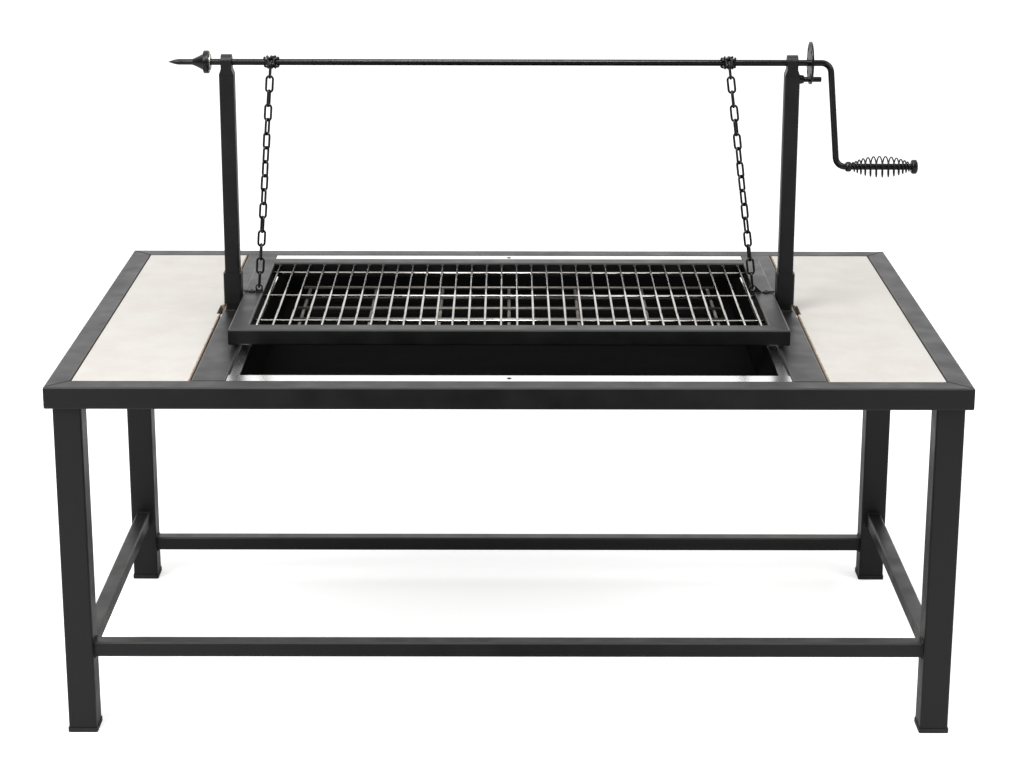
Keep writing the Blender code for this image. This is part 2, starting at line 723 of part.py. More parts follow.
# Spear finial and collar on the left end of the shaft
def build_finial():
    bore = ROD_RADIUS + SEAT_GAP
    face = COLLAR_X - COLLAR_LENGTH
    back = COLLAR_STEP_LENGTH
    edge = 0.0022
    ring = [
        (0, bore),
        (0, COLLAR_STEP_RADIUS),
        (-back, COLLAR_STEP_RADIUS),
        (-back, COLLAR_RADIUS - edge),
        (-back - edge / 3, COLLAR_RADIUS - edge / 3),
        (-back - edge, COLLAR_RADIUS),
        (-COLLAR_LENGTH + edge, COLLAR_RADIUS),
        (-COLLAR_LENGTH + edge / 3, COLLAR_RADIUS - edge / 3),
        (-COLLAR_LENGTH, COLLAR_RADIUS - edge),
        (-COLLAR_LENGTH, bore),
        (0, bore),
    ]
    turned("finial_collar", ring, (-face, POST_Y, ROD_Z), BLACK_STEEL, 32)
    length = FINIAL_TIP_X - COLLAR_X - SEAT_GAP
    profile = [(0, 0)]
    for step in range(5):
        share = step / 4
        radius = SPEAR_RADIUS + (CONE_RADIUS - SPEAR_RADIUS) * (1 - share) ** 1.2
        profile.append((-CONE_LENGTH * share, radius))
    for step in range(7):
        share = step / 6
        profile.append((SPEAR_TAPER * (1 - share) - length, SPEAR_RADIUS * math.cos(math.pi / 2 * share)))
    profile[-1] = (-length, 0)
    turned("finial_spear", profile, (-COLLAR_X - SEAT_GAP, POST_Y, ROD_Z), BLACK_STEEL, 24)


# Spring handle: a collar and a knob fixed on the bar, and a loose barrel-shaped coil between them
def build_handle():
    z = ROD_Z - CRANK_DROP
    bore = ROD_RADIUS + SEAT_GAP
    half = 0.0055
    profile = [(half, bore)]
    for step in range(7):
        angle = math.pi / 2 * (1 - step / 3)
        swell = 0.25 + 0.75 * math.cos(angle)
        profile.append((half * math.sin(angle), bore + (HANDLE_COLLAR_RADIUS - bore) * swell))
    profile += [(-half, bore), (half, bore)]
    turned("handle_collar", profile, (HANDLE_COLLAR_X, POST_Y, z), BLACK_STEEL)
    knob_start = HANDLE_END_X + SEAT_GAP
    outer = KNOB_LENGTH - KNOB_CUP
    profile = [
        (outer, 0),
        (outer, KNOB_RADIUS * 0.62),
        (outer - 0.0010, KNOB_RADIUS * 0.86),
        (outer - 0.0030, KNOB_RADIUS),
        (0.0024 - KNOB_CUP, KNOB_RADIUS),
        (-KNOB_CUP, KNOB_RADIUS * 0.86),
        (-KNOB_CUP, bore),
        (0, bore),
        (0, 0),
    ]
    turned("handle_knob", profile, (knob_start, POST_Y, z), BLACK_STEEL)
    inner = ROD_RADIUS + RUNNING_GAP + COIL_WIRE / 2
    steps = COIL_TURNS * 10 + 3
    length = COIL_END_X - COIL_START_X - COIL_WIRE
    path = []
    for step in range(steps + 1):
        share = step / steps
        swell = math.sin(math.pi * share) ** 1.3
        radius = inner + (COIL_BULGE_RADIUS - inner) * swell
        angle = 2 * math.pi * COIL_TURNS * share
        place = share - COIL_CROWDING * math.sin(2 * math.pi * share) / (2 * math.pi)
        path.append((length * place, radius * math.cos(angle), radius * math.sin(angle)))
    coil = add_object("handle_coil", wire_mesh(path, COIL_WIRE / 2, 1), BLACK_STEEL)
    coil.location = (COIL_START_X + COIL_WIRE / 2, POST_Y, z)
    smooth(coil, 60)


# Grill frame and the cooking grate welded in it
def build_grill():
    middle = GRILL_BOTTOM + GRILL_TUBE_HEIGHT / 2
    half_x = GRILL_WIDTH / 2 - GRILL_TUBE_WIDTH / 2
    half_y = GRILL_DEPTH / 2 - GRILL_TUBE_WIDTH / 2
    rails = (
        ("grill_front_rail", GRILL_WIDTH, Vector((0, GRILL_Y - half_y, middle)), Vector((0, -1, 0))),
        ("grill_rear_rail", GRILL_WIDTH, Vector((0, GRILL_Y + half_y, middle)), Vector((0, 1, 0))),
        ("grill_left_rail", GRILL_DEPTH, Vector((-half_x, GRILL_Y, middle)), Vector((-1, 0, 0))),
        ("grill_right_rail", GRILL_DEPTH, Vector((half_x, GRILL_Y, middle)), Vector((1, 0, 0))),
    )
    for name, length, centre, outward in rails:
        mitred_tube(name, length, GRILL_TUBE_WIDTH, GRILL_TUBE_HEIGHT, GRILL_WALL, centre, outward, BLACK_COAT)
    rod_run = GRILL_DEPTH - 2 * GRILL_TUBE_WIDTH - 2 * SEAT_GAP
    cross_run = GRILL_WIDTH - 2 * GRILL_TUBE_WIDTH - 2 * SEAT_GAP
    rod_z = GRILL_TOP - GRATE_BELOW_TOP - GRATE_ROD / 2
    cross_z = rod_z - GRATE_ROD / 2 - GRATE_CROSS_ROD / 2 + WELD_DEPTH
    bars = []
    for row in (0, -1, 1):
        y = GRILL_Y + row * GRATE_CROSS_SPACING
        bars.append(bar_x(cross_run, GRATE_CROSS_ROD / 2, 0, y, cross_z, 1))
    for rod in range(GRATE_RODS):
        x = (rod - (GRATE_RODS - 1) / 2) * GRATE_PITCH
        bars.append(bar_y(rod_run, GRATE_ROD / 2, x, GRILL_Y, rod_z, 1))
    joined("cooking_grate", bars, GRATE_STEEL)


# Chains: welded links, wound on the shaft at the top and hooked through a lug at the bottom
def link_mesh(matrix):
    """One oval link, its long side along local Z and its face across local Y, then placed by the matrix."""
    offset = (LINK_WIDTH - LINK_WIRE) / 2
    straight = LINK_INNER / 2 + LINK_WIRE / 2 - offset
    points = []
    for end, start in ((1, 0), (-1, 180)):
        for step in range(5):
            angle = math.radians(start + 45 * step)
            points.append((offset * math.cos(angle), 0, end * straight + offset * math.sin(angle)))
    mesh = wire_mesh(points, LINK_WIRE / 2, 1, cyclic=True)
    mesh.transform(matrix)
    return mesh


def chain_ends(side, top_x, lean):
    """The inside top of a hanging chain, over the hook of the wound links, and the hole of its lug."""
    top = Vector((side * top_x, CHAIN_Y, ROD_Z - HOOK_BELOW_ROD + LINK_WIRE / 2 + SEAT_GAP))
    hole = Vector((side * (LUG_X - lean), CHAIN_Y, GRILL_TOP + SEAT_GAP + LUG_HOLE_HEIGHT))
    return top, hole


def build_chain(name, side, top_x, lean):
    top, hole = chain_ends(side, top_x, lean)
    run = hole - top
    direction = run.normalized()
    length = run.length - LINK_IN_LUG
    count = round(length / (LINK_INNER + LINK_OVERLAP))
    stretch = (length - (count - 1) * LINK_OVERLAP) / (count * LINK_INNER + LINK_WIRE / 2)
    spacing = stretch * LINK_INNER + LINK_OVERLAP
    first = stretch * LINK_INNER / 2
    tilt = Vector((0, 0, 1)).rotation_difference(-direction).to_matrix().to_4x4()
    links = []
    twist = 90 if count % 2 == 0 else 0
    for number in range(count):
        angle = 90 * (number + 1) + twist * number / (count - 1)
        turn = Matrix.Rotation(math.radians(angle), 4, "Z")
        centre = top + direction * (first + number * spacing)
        longer = Matrix.Diagonal((1, 1, stretch, 1))
        links.append(link_mesh(Matrix.Translation(centre) @ tilt @ turn @ longer))
    return smooth(joined(name, links, BLACK_STEEL), 60)


def wound_link(x, low, high, hook=None):
    """A link bent round the shaft between two angles up from the front. Its low end may reach to a hook."""
    offset = (WOUND_LINK_WIDTH - LINK_WIRE) / 2
    corner = math.degrees(offset / WRAP_RADIUS)
    sides = []
    for step in range(6):
        angle = low + corner + (high - low - 2 * corner) * step / 5
        sides.append((offset, angle))
    path = sides + [(0.7 * offset, high - 0.3 * corner), (0, high)]
    path += [(-across, angle) for across, angle in reversed(path[:-1])]
    points = []
    for across, angle in path:
        turn = math.radians(angle)
        points.append((x + across, -WRAP_RADIUS * math.cos(turn), WRAP_RADIUS * math.sin(turn)))
    if hook:
        points += [(x - 0.7 * offset, *hook), (x, *hook), (x + 0.7 * offset, *hook)]
    else:
        turn = math.radians(low + 0.3 * corner)
        near = (-WRAP_RADIUS * math.cos(turn), WRAP_RADIUS * math.sin(turn))
        turn = math.radians(low)
        tip = (-WRAP_RADIUS * math.cos(turn), WRAP_RADIUS * math.sin(turn))
        points += [(x - 0.7 * offset, *near), (x, *tip), (x + 0.7 * offset, *near)]
    mesh = wire_mesh(points, LINK_WIRE / 2, 1, cyclic=True)
    mesh.transform(Matrix.Translation((0, POST_Y, ROD_Z)))
    return mesh


def build_wrap(name, x):
    """The end of the chain on the shaft: three links bent round it, the middle one drawn out to carry the rest."""
    links = [wound_link(x, 10, 205, (-CHAIN_FROM_ROD, -HOOK_BELOW_ROD))]
    links.append(wound_link(x - WRAP_SIDE_LINK_X, 35, 283))
    links.append(wound_link(x + WRAP_SIDE_LINK_X, 48, 296))
    return smooth(joined(name, links, BLACK_STEEL), 60)


def build_lug(name, side, lean):
    """A drilled lug on the side rail. Lean is how far its hole stands in from the middle of its foot."""
    half = LUG_WIDTH / 2
    first, last = (45, 245) if lean else (0, 180)
    outline = [(-half, 0), (half, 0)]
    for step in range(9):
        angle = math.radians(first + (last - first) * step / 8)
        outline.append((half * math.cos(angle) - lean, LUG_HOLE_HEIGHT + half * math.sin(angle)))
    outline = [(side * x, z) for x, z in outline]
    hole = circle_points(LUG_HOLE, 16, (-side * lean, LUG_HOLE_HEIGHT))
    lug = add_object(name, plate_mesh([outline, hole], LUG_THICKNESS), BLACK_COAT)
    face = Matrix.Rotation(math.pi / 2, 4, "X")
    lug.matrix_world = Matrix.Translation((side * LUG_X, CHAIN_Y, GRILL_TOP + SEAT_GAP)) @ face
    return smooth(lug)


def build_guide_eye(name, side):
    """A wire eye that lies on the side rail beside the lug, its shank towards the post's sleeve."""
    z = GRILL_TOP + SEAT_GAP + EYE_WIRE / 2
    centre_x = LUG_X + EYE_FROM_LUG
    tip_x = POST_X - SLEEVE_SIZE / 2 - 2 * GRILL_ABOVE_TABLE / 4
    ring = [(x, y, 0) for x, y in circle_points(EYE_RADIUS - EYE_WIRE / 2, 16)]
    shank = [(EYE_RADIUS - EYE_WIRE, 0, 0), (tip_x - centre_x, 0, 0)]
    pieces = [wire_mesh(ring, EYE_WIRE / 2, 1, cyclic=True), wire_mesh(shank, EYE_WIRE / 2, 1)]
    place = Matrix.Translation((side * centre_x, GRILL_Y, z)) @ Matrix.Rotation(0 if side > 0 else math.pi, 4, "Z")
    for piece in pieces:
        piece.transform(place)
    return smooth(joined(name, pieces, BLACK_STEEL), 60)


def build_suspension():
    sides = (
        ("left", -1, CHAIN_TOP_LEFT_X, LEFT_LUG_LEAN),
        ("right", 1, CHAIN_TOP_RIGHT_X, RIGHT_LUG_LEAN),
    )
    for name, side, top_x, lean in sides:
        build_wrap(name + "_chain_wrap", side * top_x)
        build_chain(name + "_chain", side, top_x, lean)
        build_lug(name + "_chain_lug", side, lean)
        build_guide_eye(name + "_guide_eye", side)


build_top_frame()
build_legs()
build_tiles()
build_fire_tray()
build_posts()
build_shaft()
build_index_disc()
build_lock()
build_finial()
build_handle()
build_grill()
build_suspension()
bpy.context.view_layer.update()
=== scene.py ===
import json
import math

import bmesh
import bpy
from mathutils import Matrix, Vector


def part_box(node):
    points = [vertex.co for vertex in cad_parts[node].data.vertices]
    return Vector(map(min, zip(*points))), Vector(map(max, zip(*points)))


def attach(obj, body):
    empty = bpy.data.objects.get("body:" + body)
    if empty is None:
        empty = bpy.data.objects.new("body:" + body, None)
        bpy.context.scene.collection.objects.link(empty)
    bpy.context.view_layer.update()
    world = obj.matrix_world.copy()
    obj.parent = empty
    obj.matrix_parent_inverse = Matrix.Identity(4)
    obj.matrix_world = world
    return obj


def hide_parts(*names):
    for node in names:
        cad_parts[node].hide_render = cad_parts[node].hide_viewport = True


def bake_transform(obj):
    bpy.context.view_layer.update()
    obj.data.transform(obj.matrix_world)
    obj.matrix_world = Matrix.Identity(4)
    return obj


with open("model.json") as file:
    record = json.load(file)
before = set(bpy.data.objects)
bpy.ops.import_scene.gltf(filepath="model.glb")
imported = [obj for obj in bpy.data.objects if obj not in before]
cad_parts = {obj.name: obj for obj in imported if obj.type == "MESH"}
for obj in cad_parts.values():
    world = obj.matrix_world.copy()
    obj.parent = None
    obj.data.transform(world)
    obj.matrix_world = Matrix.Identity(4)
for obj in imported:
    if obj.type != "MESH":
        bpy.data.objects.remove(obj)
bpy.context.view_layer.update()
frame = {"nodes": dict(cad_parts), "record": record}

# Camera. It stands about 3.8 m in front of the table at standing eye height and looks down on it
# at 15 degrees, from the middle, as in the photograph.
CAMERA_PLACE = (-0.0032, -4.2546, 1.7989)
CAMERA_PITCH = math.radians(15.3676)
CAMERA_YAW = math.radians(0.119)
CAMERA_ROLL = math.radians(0.1247)
CAMERA_LENS = 80.486
CAMERA_SHIFT = -0.0605

camera = bpy.data.objects.new("camera", bpy.data.cameras.new("camera"))
bpy.context.scene.collection.objects.link(camera)
camera.data.lens = CAMERA_LENS
camera.data.sensor_width = 36.0
camera.data.shift_y = CAMERA_SHIFT
turn = Matrix.Rotation(-CAMERA_YAW, 4, "Z") @ Matrix.Rotation(math.pi / 2 - CAMERA_PITCH, 4, "X")
camera.matrix_world = Matrix.Translation(CAMERA_PLACE) @ turn @ Matrix.Rotation(CAMERA_ROLL, 4, "Z")
bpy.context.scene.camera = camera
bpy.context.scene.view_settings.view_transform = "Standard"


# Floor, sky and lamps. A pale studio floor under an even white sky, with one large soft lamp over the
# front left, a weaker one on the right and a small one overhead that only draws lines on the arrises.
# The camera sees the sky as white. A mirror sees it white overhead and behind the table, and dark in
# front, with a painted shadow on the floor where the camera stands, which only reflections see.
FLOOR_SIZE = 30.0
FLOOR_COLOUR = "#FFFFFF"
FLOOR_MIRRORED = "#F0F0F0"
# The dark patch is a painted shadow on the floor, like a photographer's, which only glossy rays see.
DARK_PATCH = "#141414"
DARK_PATCH_SHAPE = (1.6, 0.7, 1.0)
DARK_PATCH_CENTRE = (0.0, -1.82, 0.0)
DARK_PATCH_EDGE = (0.9, 1.6)
BACKDROP = (0.0, 0.8, 0.6)
BACKDROP_FULL_AT = 0.6
MIRRORED_SKY = (0.12, 1.22)
SKY_LIGHT = 0.62
KEY_WATTS = 120.0
FILL_WATTS = 40.0
TOP_WATTS = 60.0
FLOOR_GLOW = 0.6


def linear(colour):
    """Blender's linear colour of an sRGB hex value."""
    channels = [int(colour[place : place + 2], 16) / 255 for place in (1, 3, 5)]
    return [c / 12.92 if c <= 0.04045 else ((c + 0.055) / 1.055) ** 2.4 for c in channels] + [1.0]


def add_node(tree, kind, inputs=None, **settings):
    """Adds a node with its settings. Inputs gives each socket a value, or the output that feeds it."""
    node = tree.nodes.new(kind)
    for name, value in settings.items():
        setattr(node, name, value)
    for socket, value in (inputs or {}).items():
        if isinstance(value, bpy.types.NodeSocket):
            tree.links.new(value, node.inputs[socket])
        else:
            node.inputs[socket].default_value = value
    return node


def new_material(name):
    """An empty node material, with its Principled shader and its output."""
    material = bpy.data.materials.new(name)
    material.use_nodes = True
    tree = material.node_tree
    return material, tree, tree.nodes["Principled BSDF"]


floor_mesh = bpy.data.meshes.new("studio_floor")
edit = bmesh.new()
bmesh.ops.create_grid(edit, x_segments=1, y_segments=1, size=FLOOR_SIZE / 2)
edit.to_mesh(floor_mesh)
edit.free()
floor = bpy.data.objects.new("studio_floor", floor_mesh)
bpy.context.scene.collection.objects.link(floor)
floor.location = (0, 0, -0.0005)

floor_paint, tree, shader = new_material("studio_floor_paint")
shader.inputs["Roughness"].default_value = 0.9
shader.inputs["Specular IOR Level"].default_value = 0.0
rays = add_node(tree, "ShaderNodeLightPath")
place = add_node(tree, "ShaderNodeTexCoord").outputs["Object"]
drawn_in = add_node(tree, "ShaderNodeVectorMath", {0: place, 1: DARK_PATCH_SHAPE}, operation="MULTIPLY")
from_patch = {0: drawn_in.outputs[0], 1: DARK_PATCH_CENTRE}
reach = add_node(tree, "ShaderNodeVectorMath", from_patch, operation="DISTANCE").outputs["Value"]
inner, outer = DARK_PATCH_EDGE
far_off = add_node(tree, "ShaderNodeMapRange", {"Value": reach, "From Min": inner, "From Max": outer})
# Painted shadow: reflections see the floor dark inside the patch and pale outside it.
mirrored = add_node(
    tree,
    "ShaderNodeMix",
    {0: far_off.outputs[0], 6: linear(DARK_PATCH), 7: linear(FLOOR_MIRRORED)},
    data_type="RGBA",
)
seen_colour = add_node(
    tree,
    "ShaderNodeMix",
    {0: rays.outputs["Is Glossy Ray"], 6: linear(FLOOR_COLOUR), 7: mirrored.outputs[2]},
    data_type="RGBA",
)
tree.links.new(seen_colour.outputs[2], shader.inputs["Base Color"])
seen = {0: rays.outputs["Is Camera Ray"], 1: FLOOR_GLOW}
lift = add_node(tree, "ShaderNodeMath", seen, operation="MULTIPLY")
shader.inputs["Emission Color"].default_value = (1, 1, 1, 1)
tree.links.new(lift.outputs[0], shader.inputs["Emission Strength"])
floor_mesh.materials.append(floor_paint)

world = bpy.data.worlds.new("white_studio")
world.use_nodes = True
bpy.context.scene.world = world
tree = world.node_tree
sky = tree.nodes["Background"]
sky.inputs["Color"].default_value = (1, 1, 1, 1)
rays = add_node(tree, "ShaderNodeLightPath")
direction = add_node(tree, "ShaderNodeTexCoord").outputs["Generated"]
toward_back = add_node(tree, "ShaderNodeVectorMath", {0: direction, 1: BACKDROP}, operation="DOT_PRODUCT")
in_front, behind = MIRRORED_SKY
inputs = {"From Max": BACKDROP_FULL_AT, "To Min": in_front, "To Max": behind}
overhead = add_node(tree, "ShaderNodeMapRange", {"Value": toward_back.outputs["Value"], **inputs})
mirrored = add_node(
    tree,
    "ShaderNodeMix",
    {0: rays.outputs["Is Glossy Ray"], 2: SKY_LIGHT, 3: overhead.outputs[0]},
    data_type="FLOAT",
)
strength = add_node(
    tree,
    "ShaderNodeMix",
    {0: rays.outputs["Is Camera Ray"], 2: mirrored.outputs[0], 3: 1.0},
    data_type="FLOAT",
)
tree.links.new(strength.outputs[0], sky.inputs["Strength"])


def soft_lamp(name, place, target, size, watts):
    """A square area lamp aimed at a target, which the camera doesn't see."""
    lamp = bpy.data.objects.new(name, bpy.data.lights.new(name, "AREA"))
    bpy.context.scene.collection.objects.link(lamp)
    lamp.data.shape = "SQUARE"
    lamp.data.size = size
    lamp.data.energy = watts
    lamp.location = place
    lamp.rotation_euler = (Vector(target) - Vector(place)).to_track_quat("-Z", "Y").to_euler()
    lamp.visible_camera = False
    return lamp


soft_lamp("key_lamp", (-2.2, -2.6, 3.6), (0, 0, 0.6), 2.4, KEY_WATTS)
soft_lamp("fill_lamp", (3.0, -1.8, 2.4), (0, 0, 0.6), 2.0, FILL_WATTS)
top_lamp = soft_lamp("top_lamp", (0, -1.2, 3.4), (0, -0.3, 0.6), 1.0, TOP_WATTS)
top_lamp.visible_diffuse = False


# Table top, legs, stretchers, posts and grill frame. Mild steel tube, mitred, welded and ground, then
# powder coated satin black: even and soft in gloss, with a fine orange peel and a little dust on top.
# The upper arrises carry a painted highlight, a lighter colour standing in for the light they catch.
def surface_noise(tree, size, detail=2.0, roughness=0.5, stretch=(1, 1, 1)):
    """Noise whose features are about this many millimetres across."""
    place = add_node(tree, "ShaderNodeTexCoord")
    scaled = add_node(tree, "ShaderNodeMapping", {"Vector": place.outputs["Object"], "Scale": stretch})
    noise = add_node(
        tree,
        "ShaderNodeTexNoise",
        {"Vector": scaled.outputs[0], "Scale": 1000 / size, "Detail": detail, "Roughness": roughness},
    )
    return noise.outputs["Fac"]


def between(tree, factor, low, high, start=0.3, end=0.7):
    """A number from low to high as the factor goes from start to end."""
    inputs = {"Value": factor, "From Min": start, "From Max": end, "To Min": low, "To Max": high}
    return add_node(tree, "ShaderNodeMapRange", inputs).outputs[0]


def mixed(tree, factor, first, second):
    """A colour between two, by the factor. Each is a hex value or an output."""
    inputs = {0: factor}
    for socket, colour in ((6, first), (7, second)):
        inputs[socket] = linear(colour) if isinstance(colour, str) else colour
    return add_node(tree, "ShaderNodeMix", inputs, data_type="RGBA").outputs[2]


def bumped(tree, shader, height, distance, strength=1.0):
    """Gives the shader a bump of this real depth in millimetres."""
    inputs = {"Height": height, "Distance": distance / 1000, "Strength": strength}
    bump = add_node(tree, "ShaderNodeBump", inputs)
    tree.links.new(bump.outputs[0], shader.inputs["Normal"])


def facing_up(tree):
    """How far the surface faces up, from -1 to 1."""
    normal = add_node(tree, "ShaderNodeTexCoord").outputs["Normal"]
    return add_node(tree, "ShaderNodeSeparateXYZ", {0: normal}).outputs["Z"]


POWDER_COLOUR = "#0B0B0C"
POWDER_WORN = "#121213"
DUST_COLOUR = "#5B5A58"
DUST_SHARE = 0.16
# The arris colour below is a painted highlight: lighter than the coat, it stands in for the light that the
# rounded upper arrises catch.
ARRIS_PAINTED_HIGHLIGHT = "#605F5D"
ORANGE_PEEL = 2.4
powder_coat, tree, shader = new_material("satin_powder_coat")
shader.inputs["IOR"].default_value = 1.5
shader.inputs["Specular IOR Level"].default_value = 0.4
patches = surface_noise(tree, 55)
colour = mixed(tree, between(tree, patches, 0, 1), POWDER_COLOUR, POWDER_WORN)
facing = facing_up(tree)
on_top = between(tree, facing, 0, DUST_SHARE, 0.6, 1.0)
dusty = add_node(tree, "ShaderNodeMath", {0: on_top, 1: surface_noise(tree, 14, 4)}, operation="MULTIPLY")
coat_colour = mixed(tree, dusty.outputs[0], colour, DUST_COLOUR)
tree.links.new(coat_colour, shader.inputs["Base Color"])
tree.links.new(between(tree, patches, 0.34, 0.48), shader.inputs["Roughness"])
bumped(tree, shader, surface_noise(tree, ORANGE_PEEL, 1.0), 0.05, 0.5)
# This copy is taken before the painted arris highlight is added, so it has none.
plain_coat = powder_coat.copy()
plain_coat.name = "satin_powder_coat_unrubbed"
# Painted highlight: faces that slope part way between upright and level, as on the rounded upper arrises, get
# a lighter base colour.
rounding = between(tree, facing, 0, 1, 0.3, 0.5)
turned_up = between(tree, facing, 1, 0, 0.88, 0.96)
arris_highlight_share = add_node(tree, "ShaderNodeMath", {0: rounding, 1: turned_up}, operation="MULTIPLY").outputs[0]
tree.links.new(mixed(tree, arris_highlight_share, coat_colour, ARRIS_PAINTED_HIGHLIGHT), shader.inputs["Base Color"])

POWDER_COATED = (
    "front_rail rear_rail left_rail right_rail left_cross_member right_cross_member front_left_leg "
    "front_right_leg rear_left_leg rear_right_leg front_stretcher rear_stretcher left_stretcher "
    "right_stretcher left_front_bearer left_rear_bearer right_front_bearer right_rear_bearer "
    "front_ledge rear_ledge left_stub right_stub left_sleeve right_sleeve left_post right_post "
    "grill_front_rail grill_rear_rail grill_left_rail grill_right_rail"
)


def repaint(names, material):
    """Gives CAD nodes this material."""
    for name in names.split():
        node = frame["nodes"][name]
        for slot in node.material_slots:
            slot.material = material


repaint(POWDER_COATED, powder_coat)
# The bearing heads take the coat without the painted arris highlight.
repaint("left_bearing_head right_bearing_head", plain_coat)


# Weld beads. Short fillet welds where the stretchers, legs, stubs and lugs meet what carries them,
# run by hand: overlapping ripples of steel under the same powder coat.
def geometry_tree(name, sockets):
    """A Geometry Nodes tree with these inputs, as (name, socket kind, default)."""
    tree = bpy.data.node_groups.new(name, "GeometryNodeTree")
    tree.interface.new_socket("Geometry", in_out="INPUT", socket_type="NodeSocketGeometry")
    for label, kind, value in sockets:
        socket = tree.interface.new_socket(label, in_out="INPUT", socket_type=kind)
        if value is not None:
            socket.default_value = value
    tree.interface.new_socket("Geometry", in_out="OUTPUT", socket_type="NodeSocketGeometry")
    return tree, add_node(tree, "NodeGroupInput").outputs


def close_tree(tree, geometry, material):
    """Ends a tree: real copies in place of instances, in this material."""
    real = add_node(tree, "GeometryNodeRealizeInstances", {0: geometry})
    dressed = add_node(tree, "GeometryNodeSetMaterial", {"Geometry": real.outputs[0], "Material": material})
    add_node(tree, "NodeGroupOutput", {0: dressed.outputs[0]})


def grown(name, tree, values, base=None):
    """The plain mesh object that a tree makes, with its named inputs set by identifier."""
    source = bpy.data.objects.new(name + "_source", base or bpy.data.meshes.new(name + "_source"))
    bpy.context.scene.collection.objects.link(source)
    modifier = source.modifiers.new("grow", "NODES")
    modifier.node_group = tree
    for item in tree.interface.items_tree:
        if item.in_out == "INPUT" and item.name in values:
            modifier[item.identifier] = values[item.name]
    bpy.context.view_layer.update()
    graph = bpy.context.evaluated_depsgraph_get()
    mesh = bpy.data.meshes.new_from_object(source.evaluated_get(graph))
    bpy.data.objects.remove(source)
    piece = bpy.data.objects.new(name, mesh)
    bpy.context.scene.collection.objects.link(piece)
    return piece


BEAD_RADIUS = 0.0023
BEAD_STEP = 0.0021
LUG_FOOT = 0.014
LUG_BEAD_RADIUS = 0.0014
SEAM_RADIUS = 0.0007

bead_tree, given = geometry_tree(
    "weld_bead", [("Radius", "NodeSocketFloat", BEAD_RADIUS), ("Step", "NodeSocketFloat", BEAD_STEP)]
)
run = add_node(bead_tree, "GeometryNodeMeshToCurve", {"Mesh": given["Geometry"]})
spaced = add_node(
    bead_tree, "GeometryNodeResampleCurve", {"Curve": run.outputs[0], "Length": given["Step"]}, mode="LENGTH"
)
ripple = add_node(bead_tree, "GeometryNodeMeshIcoSphere", {"Radius": given["Radius"], "Subdivisions": 2})
uneven = add_node(bead_tree, "FunctionNodeRandomValue", {2: 0.82, 3: 1.1, "Seed": 7}, data_type="FLOAT")
ripples = add_node(
    bead_tree,
    "GeometryNodeInstanceOnPoints",
    {"Points": spaced.outputs[0], "Instance": ripple.outputs[0], "Scale": uneven.outputs[1]},
)
close_tree(bead_tree, ripples.outputs[0], plain_coat)


def line_mesh(name, runs):
    """Open runs of points as loose edges."""
    mesh = bpy.data.meshes.new(name)
    edit = bmesh.new()
    for points in runs:
        verts = [edit.verts.new(point) for point in points]
        for first, second in zip(verts, verts[1:]):
            edit.edges.new((first, second))
    edit.to_mesh(mesh)
    edit.free()
    return mesh


def square_run(low, high, axis, place):
    """A closed run round a box's section at a place on this axis."""
    across = [index for index in range(3) if index != axis]
    corners = []
    for first, second in ((0, 0), (1, 0), (1, 1), (0, 1), (0, 0)):
        point = [0, 0, 0]
        point[axis] = place
        point[across[0]] = (low, high)[first][across[0]]
        point[across[1]] = (low, high)[second][across[1]]
        corners.append(point)
    return corners


table_runs = []
for name, axis in (("front", 0), ("rear", 0), ("left", 1), ("right", 1)):
    low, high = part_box(name + "_stretcher")
    table_runs += [square_run(low, high, axis, end[axis]) for end in (low, high)]
for name in ("left_stub", "right_stub"):
    low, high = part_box(name)
    table_runs.append(square_run(low, high, 2, low.z))
for corner in ("front_left", "front_right", "rear_left", "rear_right"):
    low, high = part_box(corner + "_leg")
    outer = low.x if "left" in corner else high.x
    table_runs.append([(outer, low.y, high.z), (outer, high.y, high.z)])
    if "front" in corner:
        table_runs.append([(low.x, low.y, high.z), (high.x, low.y, high.z)])
seam_runs = []
rail_low, rail_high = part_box("left_rail")
width = rail_high.x - rail_low.x
for side_x in (-1, 1):
    for side_y in (-1, 1):
        corner = Vector((side_x * -rail_low.x, side_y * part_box("rear_rail")[1].y, rail_high.z))
        inward = Vector((-side_x * width, -side_y * width, 0))
        seam_runs.append([corner + inward * 0.1, corner + inward])
seam = {"Radius": SEAM_RADIUS, "Step": SEAM_RADIUS}
table_seams = grown("mitre_seams", bead_tree, seam, line_mesh("mitre_seam_runs", seam_runs))
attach(table_seams, "table")
table_beads = grown("frame_weld_beads", bead_tree, {}, line_mesh("frame_welds", table_runs))
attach(table_beads, "table")

grill_runs = []
for name in ("left_chain_lug", "right_chain_lug"):
    low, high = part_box(name)
    inner = high.x - LUG_FOOT
    grill_runs += [[(inner, y, low.z), (high.x, y, low.z)] for y in (low.y, high.y)]
lug_bead = {"Radius": LUG_BEAD_RADIUS, "Step": LUG_BEAD_RADIUS}
grill_beads = grown("lug_weld_beads", bead_tree, lug_bead, line_mesh("lug_welds", grill_runs))
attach(grill_beads, "grill")


# Foot caps. Injection-moulded black polyethylene, pushed into the leg ends, with a fine spark-eroded
# grain that makes them dull.
foot_plastic, tree, shader = new_material("moulded_polyethylene")
shader.inputs["IOR"].default_value = 1.5
tree.links.new(mixed(tree, surface_noise(tree, 30), "#131313", "#1E1E1E"), shader.inputs["Base Color"])
tree.links.new(between(tree, surface_noise(tree, 12), 0.5, 0.62), shader.inputs["Roughness"])
bumped(tree, shader, surface_noise(tree, 1.4, 3), 0.05, 0.5)
repaint("front_left_foot front_right_foot rear_left_foot rear_right_foot", foot_plastic)


